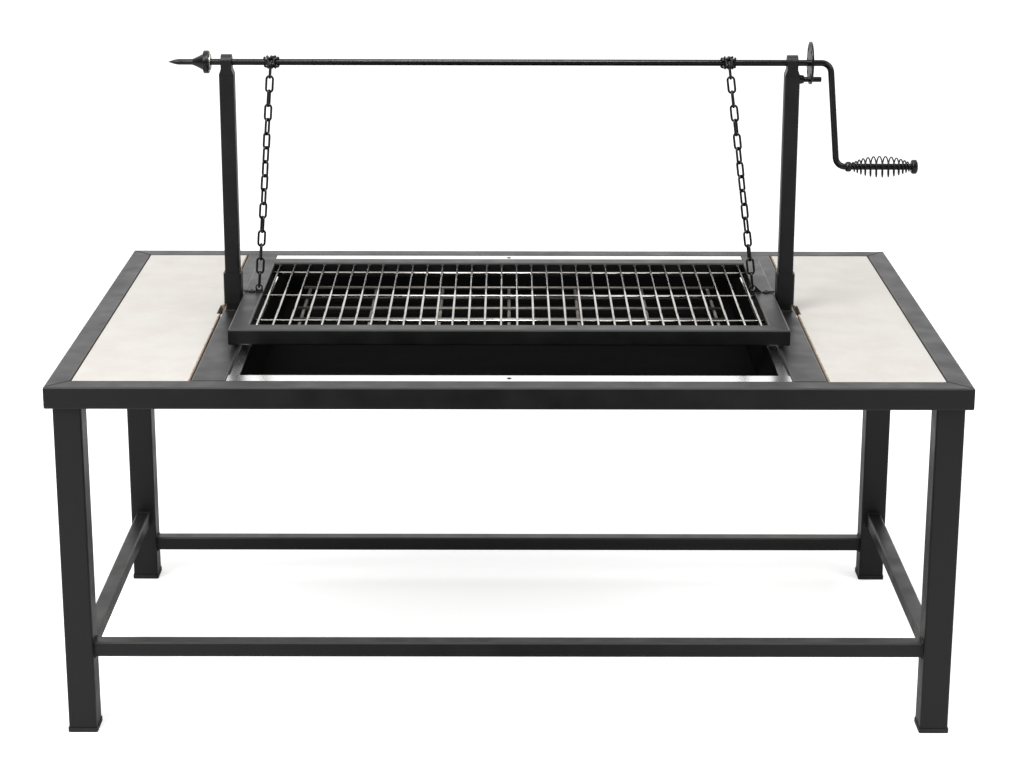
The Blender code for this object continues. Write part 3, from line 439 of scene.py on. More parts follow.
# Side tiles. Pale calibrated stone, sawn and honed: an almost even warm white face with faint clouds and
# fine grains, and a brownish, rougher sawn edge, chipped a little along the cross members.
STONE_COLOUR = "#DFDBD5"
STONE_CLOUD = "#D6D0C7"
STONE_GRAIN = "#CFC8BF"
SAWN_EDGE = "#B39C84"
SAWN_DARK = "#8A7560"
CHIPPED_EDGE = 0.0022
CHIP_RAGGED = 0.0012
CHIP_FADE = 0.0008
honed_stone, tree, shader = new_material("honed_pale_stone")
shader.inputs["IOR"].default_value = 1.5
clouds = surface_noise(tree, 70, 4, 0.6)
grains = surface_noise(tree, 2.2, 3, 0.6)
face = mixed(tree, between(tree, clouds, 0, 1), STONE_COLOUR, STONE_CLOUD)
face = mixed(tree, between(tree, grains, 0, 0.5, 0.62, 0.8), face, STONE_GRAIN)
facing = facing_up(tree)
sawn = mixed(tree, surface_noise(tree, 5, 4, 0.7), SAWN_EDGE, SAWN_DARK)
tile_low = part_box("right_tile")[0]
place = add_node(tree, "ShaderNodeSeparateXYZ", {0: add_node(tree, "ShaderNodeTexCoord").outputs["Object"]})
from_middle = add_node(tree, "ShaderNodeMath", {0: place.outputs["X"]}, operation="ABSOLUTE").outputs[0]
ragged = between(tree, surface_noise(tree, 9, 3, 0.6), -CHIP_RAGGED, CHIP_RAGGED)
from_middle = add_node(tree, "ShaderNodeMath", {0: from_middle, 1: ragged}).outputs[0]
chip_end = tile_low.x + CHIPPED_EDGE
chipped = between(tree, from_middle, 1, 0, chip_end, chip_end + CHIP_FADE)
edge_share = between(tree, facing, 1, 0, 0.2, 0.5)
edge_share = add_node(tree, "ShaderNodeMath", {0: edge_share, 1: chipped}, operation="MAXIMUM").outputs[0]
tree.links.new(mixed(tree, edge_share, face, sawn), shader.inputs["Base Color"])
gloss = between(tree, grains, 0.32, 0.44)
rough = add_node(tree, "ShaderNodeMix", {0: edge_share, 2: gloss, 3: 0.85}, data_type="FLOAT")
tree.links.new(rough.outputs[0], shader.inputs["Roughness"])
bumped(tree, shader, grains, 0.04, 0.4)
repaint("left_tile right_tile", honed_stone)


# Fire tray. Folded steel sheet, sprayed with matt black heat-resistant paint, which is dry, slightly
# grainy and a little uneven.
heat_paint, tree, shader = new_material("matt_heat_paint")
shader.inputs["IOR"].default_value = 1.45
shader.inputs["Specular IOR Level"].default_value = 0.01
soot = surface_noise(tree, 90, 5, 0.6)
colour = mixed(tree, between(tree, soot, 0, 1), "#060606", "#0D0D0D")
tree.links.new(colour, shader.inputs["Base Color"])
tree.links.new(between(tree, soot, 0.6, 0.75), shader.inputs["Roughness"])
bumped(tree, shader, surface_noise(tree, 1.8, 4, 0.6), 0.08, 0.6)
repaint("fire_tray", heat_paint)


# Tray flange. A frame of polished stainless strip, with fine polishing lines along it.
polished_steel, tree, shader = new_material("polished_stainless_strip")
shader.inputs["Metallic"].default_value = 1.0
lines = surface_noise(tree, 1.6, 3, 0.6, (0.02, 1, 1))
stains = surface_noise(tree, 60, 4, 0.6)
tree.links.new(mixed(tree, between(tree, stains, 0, 1), "#FBFBFA", "#F4F3F2"), shader.inputs["Base Color"])
polish = between(tree, lines, 0.16, 0.185)
shine = add_node(tree, "ShaderNodeMath", {0: polish, 1: between(tree, stains, 0, 0.012)})
tree.links.new(shine.outputs[0], shader.inputs["Roughness"])
repaint("tray_flange", polished_steel)


# Winding shaft and crank. One bar of drawn mild steel, bent cold at the crank's two elbows, and dipped
# in black lacquer: darker and glossier than the frame, with faint drawing lines under the lacquer.
black_lacquer, tree, shader = new_material("black_lacquered_steel")
shader.inputs["IOR"].default_value = 1.5
draw_lines = surface_noise(tree, 3.0, 3, 0.6, (0.08, 1, 1))
shader.inputs["Specular IOR Level"].default_value = 0.4
tree.links.new(mixed(tree, draw_lines, "#060606", "#0D0D0E"), shader.inputs["Base Color"])
tree.links.new(between(tree, surface_noise(tree, 20, 3), 0.22, 0.3), shader.inputs["Roughness"])
bumped(tree, shader, draw_lines, 0.008, 0.3)

ROD_RADIUS = 0.006
CRANK_TOP_X = 0.603
CRANK_BOTTOM_X = 0.621
CRANK_BEND = 0.019
joints = {joint["name"]: joint for joint in frame["record"]["behaviour"]["joints"]}
rod = Vector(joints["crank_turn"]["pos_m"])
shaft_low, shaft_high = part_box("winding_shaft")
handle_z = shaft_low.z + ROD_RADIUS


def finish_piece(piece, material, slot, body, *nodes):
    """Dresses a piece, shades it smooth between its sharp edges and makes it ride on its body."""
    piece.data.materials.clear()
    piece.data.materials.append(material)
    piece.data.shade_smooth()
    piece.data.set_sharp_from_angle(angle=math.radians(40))
    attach(piece, body)
    if nodes:
        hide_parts(*nodes)
    return piece


def curve_piece(name, curve):
    """The plain mesh object of a curve, linked to the scene."""
    source = bpy.data.objects.new(name + "_curve", curve)
    bpy.context.scene.collection.objects.link(source)
    bpy.context.view_layer.update()
    graph = bpy.context.evaluated_depsgraph_get()
    mesh = bpy.data.meshes.new_from_object(source.evaluated_get(graph))
    bpy.data.objects.remove(source)
    piece = bpy.data.objects.new(name, mesh)
    bpy.context.scene.collection.objects.link(piece)
    return piece


def bar_along(name, runs, radius, sides=16, cyclic=False):
    """Round bars along these runs of points."""
    curve = bpy.data.curves.new(name, "CURVE")
    curve.dimensions = "3D"
    curve.bevel_depth = radius
    curve.bevel_resolution = (sides - 4) // 2
    curve.use_fill_caps = not cyclic
    for points in runs:
        spline = curve.splines.new("POLY")
        spline.points.add(len(points) - 1)
        for point, place in zip(spline.points, points):
            point.co = (*place, 1)
        spline.use_cyclic_u = cyclic
    return curve_piece(name, curve)


def bend_points(before, corner, after, radius, steps=14):
    """Points of an arc that rounds the corner between two straight runs."""
    first = (before - corner).normalized()
    second = (after - corner).normalized()
    half = first.angle(second) / 2
    reach = radius / math.tan(half)
    centre = corner + (first + second).normalized() * radius / math.sin(half)
    start = corner + first * reach - centre
    end = corner + second * reach - centre
    return [centre + start.slerp(end, step / steps).normalized() * radius for step in range(steps + 1)]


left_end = Vector((shaft_low.x, rod.y, rod.z))
elbow = Vector((CRANK_TOP_X, rod.y, rod.z))
low_elbow = Vector((CRANK_BOTTOM_X, rod.y, handle_z))
right_end = Vector((shaft_high.x, rod.y, handle_z))
shaft_run = [left_end]
shaft_run += bend_points(left_end, elbow, low_elbow, CRANK_BEND)
shaft_run += bend_points(elbow, low_elbow, right_end, CRANK_BEND)
shaft_run.append(right_end)
shaft = bar_along("lacquered_shaft", [shaft_run], ROD_RADIUS, 28)
finish_piece(shaft, black_lacquer, "blackened_steel", "winder", "winding_shaft")


# Finial, collars, knob, pin and boss. Turned from steel bar on a lathe and lacquered with the shaft, each
# with small rounded arrises. A zinc-plated washer is pressed on behind the finial.
ARRIS = 0.0007
RING_ARRIS = 0.0022
WASHER_ARRIS = 0.0012
PIN_ARRIS = 0.0014


def rounded_profile(points, radius, steps=3):
    """A profile with its corners rounded to this radius, or less where a side is short."""
    rounded = [points[0]]
    for before, corner, after in zip(points, points[1:], points[2:]):
        corner = Vector((*corner, 0))
        first = Vector((*before, 0)) - corner
        second = Vector((*after, 0)) - corner
        reach = min(radius, 0.45 * first.length, 0.45 * second.length)
        start = corner + first.normalized() * reach
        end = corner + second.normalized() * reach
        for step in range(steps + 1):
            share = step / steps
            point = start.lerp(corner, share).lerp(corner.lerp(end, share), share)
            rounded.append((point.x, point.y))
    return rounded + [points[-1]]


def lathe(name, profile, place, steps=64):
    """A piece turned about an X axis through this place, from (x, radius) points."""
    edit = bmesh.new()
    verts = [edit.verts.new((x, 0, radius)) for x, radius in profile]
    edges = [edit.edges.new(pair) for pair in zip(verts, verts[1:])]
    bmesh.ops.spin(
        edit,
        geom=verts + edges,
        cent=(0, 0, 0),
        axis=(1, 0, 0),
        angle=2 * math.pi,
        steps=steps,
        use_merge=True,
    )
    bmesh.ops.remove_doubles(edit, verts=edit.verts, dist=0.000005)
    bmesh.ops.recalc_face_normals(edit, faces=edit.faces)
    bmesh.ops.translate(edit, verts=edit.verts, vec=place)
    mesh = bpy.data.meshes.new(name)
    edit.to_mesh(mesh)
    edit.free()
    piece = bpy.data.objects.new(name, mesh)
    bpy.context.scene.collection.objects.link(piece)
    return piece


SPEAR_RADIUS = 0.0055
SPEAR_TAPER = 0.023
CONE_LENGTH = 0.0216
CONE_RADIUS = 0.0158
WASHER_LENGTH = 0.003
WASHER_RADIUS = 0.0155
bore = ROD_RADIUS + 0.0003


def ring_profile(length, radius):
    """The profile of a ring on the shaft, from its right face to the left."""
    return [(0, bore), (0, radius), (-length, radius), (-length, bore), (0, bore)]


spear_low, spear_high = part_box("finial_spear")
spear_length = spear_high.x - spear_low.x
cone = []
for step in range(13):
    share = step / 12
    cone.append((-CONE_LENGTH * share, SPEAR_RADIUS + (CONE_RADIUS - SPEAR_RADIUS) * (1 - share) ** 1.2))
taper = []
for step in range(17):
    share = step / 16
    taper.append((SPEAR_TAPER * (1 - share) - spear_length, SPEAR_RADIUS * math.cos(math.pi / 2 * share)))
taper[-1] = (-spear_length, 0)
spear = lathe("turned_spear", [(0, 0)] + cone + taper, (spear_high.x, rod.y, rod.z))
finish_piece(spear, black_lacquer, "blackened_steel", "winder", "finial_spear")

ring_low, ring_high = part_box("finial_collar")
ring_radius = (ring_high.z - ring_low.z) / 2
ring_length = ring_high.x - ring_low.x - WASHER_LENGTH
ring_points = rounded_profile(ring_profile(ring_length, ring_radius), RING_ARRIS, 6)
ring = lathe("turned_ring", ring_points, (ring_high.x - WASHER_LENGTH, rod.y, rod.z))
finish_piece(ring, black_lacquer, "blackened_steel", "winder", "finial_collar")
bright_washer, tree, shader = new_material("zinc_plated_washer")
shader.inputs["Metallic"].default_value = 1.0
tree.links.new(mixed(tree, surface_noise(tree, 4, 3), "#CFCBC4", "#B5B0A8"), shader.inputs["Base Color"])
tree.links.new(between(tree, surface_noise(tree, 3, 3), 0.22, 0.36), shader.inputs["Roughness"])
washer_points = rounded_profile(ring_profile(WASHER_LENGTH, WASHER_RADIUS), WASHER_ARRIS, 4)
washer = lathe("finial_washer", washer_points, (ring_high.x, rod.y, rod.z))
finish_piece(washer, bright_washer, "polished_stainless", "winder")

collar_low, collar_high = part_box("handle_collar")
collar_half = (collar_high.x - collar_low.x) / 2
collar_radius = (collar_high.z - collar_low.z) / 2
collar_profile = [(collar_half, bore)]
for step in range(13):
    angle = math.pi / 2 * (1 - step / 6)
    swell = 0.25 + 0.75 * math.cos(angle)
    collar_profile.append((collar_half * math.sin(angle), bore + (collar_radius - bore) * swell))
collar_profile += [(-collar_half, bore), (collar_half, bore)]
collar = lathe("turned_handle_collar", collar_profile, (collar_low.x + collar_half, rod.y, handle_z))
finish_piece(collar, black_lacquer, "blackened_steel", "winder", "handle_collar")

KNOB_CUP = 0.005
knob_low, knob_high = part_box("handle_knob")
knob_radius = (knob_high.z - knob_low.z) / 2
knob_end = knob_high.x - knob_low.x - KNOB_CUP
knob_profile = [
    (knob_end, 0),
    (knob_end, knob_radius * 0.62),
    (knob_end - 0.001, knob_radius * 0.86),
    (knob_end - 0.003, knob_radius),
    (0.0024 - KNOB_CUP, knob_radius),
    (-KNOB_CUP, knob_radius * 0.86),
    (-KNOB_CUP, bore),
    (0, bore),
    (0, 0),
]
knob = lathe("turned_knob", rounded_profile(knob_profile, ARRIS), (knob_low.x + KNOB_CUP, rod.y, handle_z))
finish_piece(knob, black_lacquer, "blackened_steel", "winder", "handle_knob")

pin_low, pin_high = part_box("lock_pin")
pin_radius = (pin_high.z - pin_low.z) / 2
pin_place = (pin_low.x, rod.y, (pin_low.z + pin_high.z) / 2)
pin_length = pin_high.x - pin_low.x
pin_profile = [(pin_length, 0), (pin_length, pin_radius), (0, pin_radius), (0, 0)]
pin = lathe("turned_pin", rounded_profile(pin_profile, PIN_ARRIS, 5), pin_place, 40)
finish_piece(pin, black_lacquer, "blackened_steel", "pin", "lock_pin")
repaint("pin_boss", black_lacquer)


# Index disc. Laser-cut plate with eight holes for the pin, its edges broken, welded to the shaft by a
# hand-run fillet with visible ripples.
DISC_HOLES = 8
PIN_CIRCLE = 0.031
HOLE_CLEARANCE = 0.0005
BROKEN_EDGE = 0.0004
HUB_RADIUS = 0.0125
HUB_TIP = 0.0012
RIPPLE_RADIUS = 0.0019
RIPPLE_STEP = 0.0024
RIPPLE_INSET = 0.0026


def circle_points(radius, sides, centre=(0.0, 0.0)):
    """Flat points round a circle, counter-clockwise."""
    turns = (2 * math.pi * k / sides for k in range(sides))
    return [(centre[0] + radius * math.cos(a), centre[1] + radius * math.sin(a)) for a in turns]


def plate(name, outlines, thickness, edge, matrix):
    """A flat plate with broken edges. The first outline is its edge and the rest are holes."""
    curve = bpy.data.curves.new(name, "CURVE")
    curve.dimensions = "2D"
    curve.fill_mode = "BOTH"
    curve.extrude = thickness / 2 - edge
    curve.bevel_depth = edge
    curve.bevel_resolution = 2
    curve.offset = -edge
    for outline in outlines:
        spline = curve.splines.new("POLY")
        spline.points.add(len(outline) - 1)
        for point, (x, y) in zip(spline.points, outline):
            point.co = (x, y, 0, 1)
        spline.use_cyclic_u = True
    piece = curve_piece(name, curve)
    piece.data.transform(matrix)
    return piece


disc_low, disc_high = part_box("index_disc")
disc_radius = (disc_high.z - disc_low.z) / 2
disc_outlines = [circle_points(disc_radius, 96), circle_points(bore, 40)]
for hole in range(DISC_HOLES):
    angle = 2 * math.pi * hole / DISC_HOLES
    hole_centre = (PIN_CIRCLE * math.cos(angle), PIN_CIRCLE * math.sin(angle))
    disc_outlines.append(circle_points(pin_radius + HOLE_CLEARANCE, 32, hole_centre))
facing_x = Matrix(((0, 0, 1), (1, 0, 0), (0, 1, 0))).to_4x4()
disc_place = Matrix.Translation(((disc_low.x + disc_high.x) / 2, rod.y, rod.z)) @ facing_x
disc = plate("cut_disc", disc_outlines, disc_high.x - disc_low.x, BROKEN_EDGE, disc_place)
finish_piece(disc, black_lacquer, "blackened_steel", "winder", "index_disc")

hub_low, hub_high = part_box("disc_weld_hub")
hub_length = hub_high.x - hub_low.x
hub_start = (hub_length, bore)
hub_profile = [hub_start, (hub_length, bore + HUB_TIP), (0, HUB_RADIUS), (0, bore), hub_start]
hub = lathe("disc_weld", rounded_profile(hub_profile, ARRIS), (hub_low.x, rod.y, rod.z))
finish_piece(hub, black_lacquer, "blackened_steel", "winder", "disc_weld_hub")
ripple_circle = circle_points(HUB_RADIUS - RIPPLE_INSET, 48)
ripple_run = [(hub_low.x + HUB_TIP, rod.y + y, rod.z + z) for y, z in ripple_circle]
hub_bead = {"Radius": RIPPLE_RADIUS, "Step": RIPPLE_STEP}
hub_ripples = grown("disc_weld_ripples", bead_tree, hub_bead, line_mesh("disc_weld_run", [ripple_run]))
finish_piece(hub_ripples, black_lacquer, "blackened_steel", "winder")


# Spring handle. A loose barrel-shaped coil of hard-drawn wire that turns on the bar between the collar
# and the knob, its turns crowded at both ends.
COIL_TURNS = 13
COIL_CROWDING = 0.38
COIL_WIRE = 0.0029
COIL_BULGE_RADIUS = 0.0196
COIL_STEPS = 28
RUNNING_GAP = 0.0004
coil_low, coil_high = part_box("handle_coil")
coil_inner = ROD_RADIUS + RUNNING_GAP + COIL_WIRE / 2
coil_start = coil_low.x + COIL_WIRE / 2
coil_length = coil_high.x - coil_low.x - COIL_WIRE
coil_run = []
for step in range(COIL_TURNS * COIL_STEPS + 1):
    share = step / (COIL_TURNS * COIL_STEPS)
    radius = coil_inner + (COIL_BULGE_RADIUS - coil_inner) * math.sin(math.pi * share) ** 1.3
    angle = 2 * math.pi * COIL_TURNS * share
    place = share - COIL_CROWDING * math.sin(2 * math.pi * share) / (2 * math.pi)
    y = rod.y + radius * math.cos(angle)
    z = handle_z + radius * math.sin(angle)
    coil_run.append((coil_start + coil_length * place, y, z))
coil = bar_along("spring_coil", [coil_run], COIL_WIRE / 2, 10)
finish_piece(coil, black_lacquer, "blackened_steel", "grip", "handle_coil")


# Chains. Welded short-link steel chain, lacquered black: the upper end is wound on the shaft, and the
# rest hangs to the lug on the grate's frame, each link a quarter turn on from the last.
LINK_WIRE = 0.0044
LINK_WIDTH = 0.0168
WOUND_LINK_WIDTH = 0.0155
LINK_INNER = 0.0262
LINK_OVERLAP = 0.0010
LINK_IN_LUG = 0.0008
CHAIN_TOP_LEFT_X = 0.447
CHAIN_TOP_RIGHT_X = 0.411
RIGHT_LUG_LEAN = 0.012
CHAIN_FROM_ROD = 0.0144
HOOK_BELOW_ROD = 0.002
LUG_HOLE = 0.0045
LUG_HOLE_HEIGHT = 0.009
SEAT_GAP = 0.0003
WRAP_RADIUS = ROD_RADIUS + SEAT_GAP + LINK_WIRE / 2
WRAP_SIDE_LINK_X = 0.0072
RISEN_RADIUS = WRAP_RADIUS + 0.0021
RISEN_HALF = 0.0038
link_half = (LINK_WIDTH - LINK_WIRE) / 2
wound_half = (WOUND_LINK_WIDTH - LINK_WIRE) / 2

link_points = []
for end, start in ((1, 0), (-1, 180)):
    for step in range(13):
        angle = math.radians(start + 15 * step)
        straight = LINK_INNER / 2 + LINK_WIRE / 2 - link_half
        link_points.append((link_half * math.cos(angle), 0, end * straight + link_half * math.sin(angle)))
link_shape = bar_along("link_shape", [link_points], LINK_WIRE / 2, 12, True)

chain_tree, given = geometry_tree(
    "link_chain",
    [
        ("Link", "NodeSocketObject", None),
        ("First Link", "NodeSocketVector", None),
        ("Step", "NodeSocketVector", None),
        ("Links", "NodeSocketInt", 16),
        ("First Turn", "NodeSocketFloat", 0.0),
        ("Turn", "NodeSocketFloat", 1.57),
        ("Stretch", "NodeSocketFloat", 1.0),
    ],
)
link_places = add_node(
    chain_tree,
    "GeometryNodeMeshLine",
    {"Count": given["Links"], "Start Location": given["First Link"], "Offset": given["Step"]},
)
downward = add_node(chain_tree, "FunctionNodeAlignRotationToVector", {"Vector": given["Step"]}, axis="Z")
number = add_node(chain_tree, "GeometryNodeInputIndex")
turned_by = add_node(
    chain_tree,
    "ShaderNodeMath",
    {0: number.outputs[0], 1: given["Turn"], 2: given["First Turn"]},
    operation="MULTIPLY_ADD",
)
about_itself = {"Axis": (0, 0, 1), "Angle": turned_by.outputs[0]}
own_turn = add_node(chain_tree, "FunctionNodeAxisAngleToRotation", about_itself)
facing_link = add_node(
    chain_tree,
    "FunctionNodeRotateRotation",
    {"Rotation": downward.outputs[0], "Rotate By": own_turn.outputs[0]},
    rotation_space="LOCAL",
)
one_link = add_node(chain_tree, "GeometryNodeObjectInfo", {"Object": given["Link"]})
longer = add_node(chain_tree, "ShaderNodeCombineXYZ", {0: 1.0, 1: 1.0, 2: given["Stretch"]})
links = add_node(
    chain_tree,
    "GeometryNodeInstanceOnPoints",
    {
        "Points": link_places.outputs[0],
        "Instance": one_link.outputs["Geometry"],
        "Rotation": facing_link.outputs[0],
        "Scale": longer.outputs[0],
    },
)
close_tree(chain_tree, links.outputs[0], black_lacquer)


def hanging_chain(name, top_x, node, hole):
    """The links between the shaft and a lug's hole, in one fixed straight run; they don't crowd together as
    the grate is raised.
    """
    top = Vector((top_x, hole.y, rod.z - HOOK_BELOW_ROD + LINK_WIRE / 2 + SEAT_GAP))
    length = (hole - top).length - LINK_IN_LUG
    direction = (hole - top).normalized()
    count = round(length / (LINK_INNER + LINK_OVERLAP))
    stretch = (length - (count - 1) * LINK_OVERLAP) / (count * LINK_INNER + LINK_WIRE / 2)
    twist = 90 / (count - 1) if count % 2 == 0 else 0
    values = {
        "Link": link_shape,
        "First Link": top + direction * stretch * LINK_INNER / 2,
        "Step": direction * (stretch * LINK_INNER + LINK_OVERLAP),
        "Links": count,
        "First Turn": math.radians(90),
        "Turn": math.radians(90 + twist),
        "Stretch": stretch,
    }
    chain = grown(name, chain_tree, values)
    chain.data.shade_smooth()
    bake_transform(chain)
    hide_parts(node)


left_low, left_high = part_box("left_chain_lug")
right_low, right_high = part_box("right_chain_lug")
lug_half = (left_high.x - left_low.x) / 2
hole_z = left_low.z + LUG_HOLE_HEIGHT
chain_y = rod.y - CHAIN_FROM_ROD
left_hole = Vector((left_low.x + lug_half, chain_y, hole_z))
right_hole = Vector((right_high.x - lug_half - RIGHT_LUG_LEAN, chain_y, hole_z))
hanging_chain("left_link_chain", -CHAIN_TOP_LEFT_X, "left_chain", left_hole)
hanging_chain("right_link_chain", CHAIN_TOP_RIGHT_X, "right_chain", right_hole)
bpy.data.objects.remove(link_shape)


def smooth_loop(points, steps=5):
    """A closed smooth run through these points."""
    run = []
    count = len(points)
    for index in range(count):
        p0, p1, p2, p3 = (Vector(points[(index + shift) % count]) for shift in (-1, 0, 1, 2))
        for step in range(steps):
            t = step / steps
            point = 2 * p1 + (p2 - p0) * t + (2 * p0 - 5 * p1 + 4 * p2 - p3) * t ** 2
            run.append((point + (3 * p1 - 3 * p2 + p3 - p0) * t ** 3) / 2)
    return run


def wound_link(x, low, high, hook=None, radius=WRAP_RADIUS, half=wound_half):
    """A link bent round the shaft between two angles up from the front. A hook draws out its low end."""
    corner = math.degrees(half / radius)
    side = []
    for step in range(6):
        side.append((half, low + corner + (high - low - 2 * corner) * step / 5))
    path = side + [(0.7 * half, high - 0.3 * corner), (0, high)]
    path += [(-across, angle) for across, angle in reversed(path[:-1])]
    if not hook:
        path += [(-0.7 * half, low + 0.3 * corner), (0, low), (0.7 * half, low + 0.3 * corner)]
    points = []
    for across, angle in path:
        turn = math.radians(angle)
        points.append((x + across, rod.y - radius * math.cos(turn), rod.z + radius * math.sin(turn)))
    if hook:
        y, z = rod.y + hook[0], rod.z + hook[1]
        points += [(x + across * half, y, z) for across in (-0.7, 0, 0.7)]
    return smooth_loop(points)


for side, node in ((-1, "left_chain_wrap"), (1, "right_chain_wrap")):
    x = -CHAIN_TOP_LEFT_X if side < 0 else CHAIN_TOP_RIGHT_X
    runs = [
        wound_link(x, 10, 205, (-CHAIN_FROM_ROD, -HOOK_BELOW_ROD)),
        wound_link(x - WRAP_SIDE_LINK_X, 35, 283),
        wound_link(x + WRAP_SIDE_LINK_X, 48, 296),
        wound_link(x - WRAP_SIDE_LINK_X / 2, 50, 190, None, RISEN_RADIUS, RISEN_HALF),
        wound_link(x + WRAP_SIDE_LINK_X / 2, 75, 215, None, RISEN_RADIUS, RISEN_HALF),
        wound_link(x - WRAP_SIDE_LINK_X / 3, 215, 335, None, RISEN_RADIUS, RISEN_HALF),
        wound_link(x + WRAP_SIDE_LINK_X / 2, 240, 350, None, RISEN_RADIUS, RISEN_HALF),
    ]
    wrap = bar_along(node + "_links", runs, LINK_WIRE / 2, 12, True)
    finish_piece(wrap, black_lacquer, "blackened_steel", "winder", node)


# Lugs and guide eyes. Small drilled lugs of flat bar welded on the grate's frame, each beside a wire
# eye with a short shank.
EYE_WIRE = 0.0035
EYE_RADIUS = 0.0065
for side, name, lean, first, last in ((-1, "left", 0.0, 0, 180), (1, "right", RIGHT_LUG_LEAN, 45, 245)):
    lug_low, lug_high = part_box(name + "_chain_lug")
    foot_x = lug_high.x - lug_half
    outline = [(-lug_half, 0), (lug_half, 0)]
    for step in range(25):
        angle = math.radians(first + (last - first) * step / 24)
        outline.append((lug_half * math.cos(angle) - lean, LUG_HOLE_HEIGHT + lug_half * math.sin(angle)))
    place = Matrix.Translation((foot_x, (lug_low.y + lug_high.y) / 2, lug_low.z))
    upright = place @ Matrix.Rotation(math.pi / 2, 4, "X")
    hole = circle_points(LUG_HOLE, 32, (-lean, LUG_HOLE_HEIGHT))
    lug = plate(name + "_drilled_lug", [outline, hole], lug_high.y - lug_low.y, BROKEN_EDGE, upright)
    finish_piece(lug, plain_coat, "black_powder_coat", "grill", name + "_chain_lug")

    eye_low, eye_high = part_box(name + "_guide_eye")
    ring_x = eye_low.x + EYE_RADIUS if side > 0 else eye_high.x - EYE_RADIUS
    ring_y = (eye_low.y + eye_high.y) / 2
    ring_z = (eye_low.z + eye_high.z) / 2
    middle = EYE_RADIUS - EYE_WIRE / 2
    ring_run = [(ring_x + x, ring_y + y, ring_z) for x, y in circle_points(middle, 40)]
    eye = bar_along(name + "_wire_eye", [ring_run], EYE_WIRE / 2, 12, True)
    finish_piece(eye, black_lacquer, "blackened_steel", "grill", name + "_guide_eye")
    tip = eye_high.x if side > 0 else eye_low.x
    shank_run = [(ring_x + side * middle, ring_y, ring_z), (tip, ring_y, ring_z)]
    shank = bar_along(name + "_eye_shank", [shank_run], EYE_WIRE / 2, 12)
    finish_piece(shank, black_lacquer, "blackened_steel", "grill")


# Cooking grate. Bright drawn steel rods, bare, resistance-welded on three cross rods, with a flattened
# nugget at each crossing and a scorched weld where each rod meets the frame.
GRATE_ROD = 0.004
GRATE_CROSS_ROD = 0.005
GRATE_RODS = 32
GRATE_PITCH = 0.0298
GRATE_CROSS_SPACING = 0.180
GRATE_NUGGET = 0.0027
END_WELD_RADIUS = 0.0026
END_WELD_STEP = 0.0014
END_WELD_HALF = 0.0012
bright_rod, tree, shader = new_material("bright_drawn_rod")
shader.inputs["Metallic"].default_value = 1.0
tint = surface_noise(tree, 45, 4, 0.6)
tree.links.new(mixed(tree, between(tree, tint, 0, 1), "#D2D0CD", "#B9B5AF"), shader.inputs["Base Color"])
tree.links.new(between(tree, surface_noise(tree, 6, 3), 0.1, 0.2), shader.inputs["Roughness"])
bumped(tree, shader, surface_noise(tree, 2.0, 2, 0.5, (1, 0.1, 1)), 0.02, 0.4)

grid_tree, given = geometry_tree(
    "welded_rods",
    [
        ("Rods", "NodeSocketInt", GRATE_RODS),
        ("Pitch", "NodeSocketFloat", GRATE_PITCH),
        ("Rod Length", "NodeSocketFloat", 0.5),
        ("Rod Radius", "NodeSocketFloat", 0.002),
        ("Cross Rods", "NodeSocketInt", 3),
        ("Cross Pitch", "NodeSocketFloat", GRATE_CROSS_SPACING),
        ("Cross Length", "NodeSocketFloat", 1.0),
        ("Cross Radius", "NodeSocketFloat", 0.0025),
        ("Cross Drop", "NodeSocketFloat", 0.004),
        ("Nugget", "NodeSocketFloat", 0.003),
        ("Centre", "NodeSocketVector", None),
        ("Material", "NodeSocketMaterial", None),
    ],
)


def counted_run(tree, count, pitch):
    """The length of a row of this many pieces at this pitch."""
    spaces = add_node(tree, "ShaderNodeMath", {0: count, 1: 1.0}, operation="SUBTRACT")
    return add_node(tree, "ShaderNodeMath", {0: spaces.outputs[0], 1: pitch}, operation="MULTIPLY").outputs[0]


def rod_row(tree, count, pitch, length, radius, across, turned, drop=None):
    """A row of round rods, spaced along one axis and lying along the other."""
    run = counted_run(tree, count, pitch)
    half = add_node(tree, "ShaderNodeMath", {0: run, 1: -0.5}, operation="MULTIPLY").outputs[0]
    start = {across: half}
    if drop:
        start[2] = drop
    first = add_node(tree, "ShaderNodeCombineXYZ", start)
    step = add_node(tree, "ShaderNodeCombineXYZ", {across: pitch})
    row = add_node(
        tree,
        "GeometryNodeMeshLine",
        {"Count": count, "Start Location": first.outputs[0], "Offset": step.outputs[0]},
    )
    bar = add_node(tree, "GeometryNodeMeshCylinder", {"Vertices": 14, "Radius": radius, "Depth": length})
    return add_node(
        tree,
        "GeometryNodeInstanceOnPoints",
        {"Points": row.outputs[0], "Instance": bar.outputs[0], "Rotation": turned},
    ).outputs[0]


under = {0: given["Cross Drop"], 1: -1.0}
lower = add_node(grid_tree, "ShaderNodeMath", under, operation="MULTIPLY").outputs[0]
long_rods = rod_row(
    grid_tree, given["Rods"], given["Pitch"], given["Rod Length"], given["Rod Radius"], 0, (math.pi / 2, 0, 0)
)
cross_rods = rod_row(
    grid_tree,
    given["Cross Rods"],
    given["Cross Pitch"],
    given["Cross Length"],
    given["Cross Radius"],
    1,
    (0, math.pi / 2, 0),
    lower,
)
crossings = add_node(
    grid_tree,
    "GeometryNodeMeshGrid",
    {
        "Size X": counted_run(grid_tree, given["Rods"], given["Pitch"]),
        "Size Y": counted_run(grid_tree, given["Cross Rods"], given["Cross Pitch"]),
        "Vertices X": given["Rods"],
        "Vertices Y": given["Cross Rods"],
    },
)
sunk = add_node(grid_tree, "ShaderNodeMath", {0: lower, 1: 0.45}, operation="MULTIPLY").outputs[0]
level = add_node(grid_tree, "ShaderNodeCombineXYZ", {2: sunk})
crossings = add_node(
    grid_tree, "GeometryNodeSetPosition", {"Geometry": crossings.outputs[0], "Offset": level.outputs[0]}
)
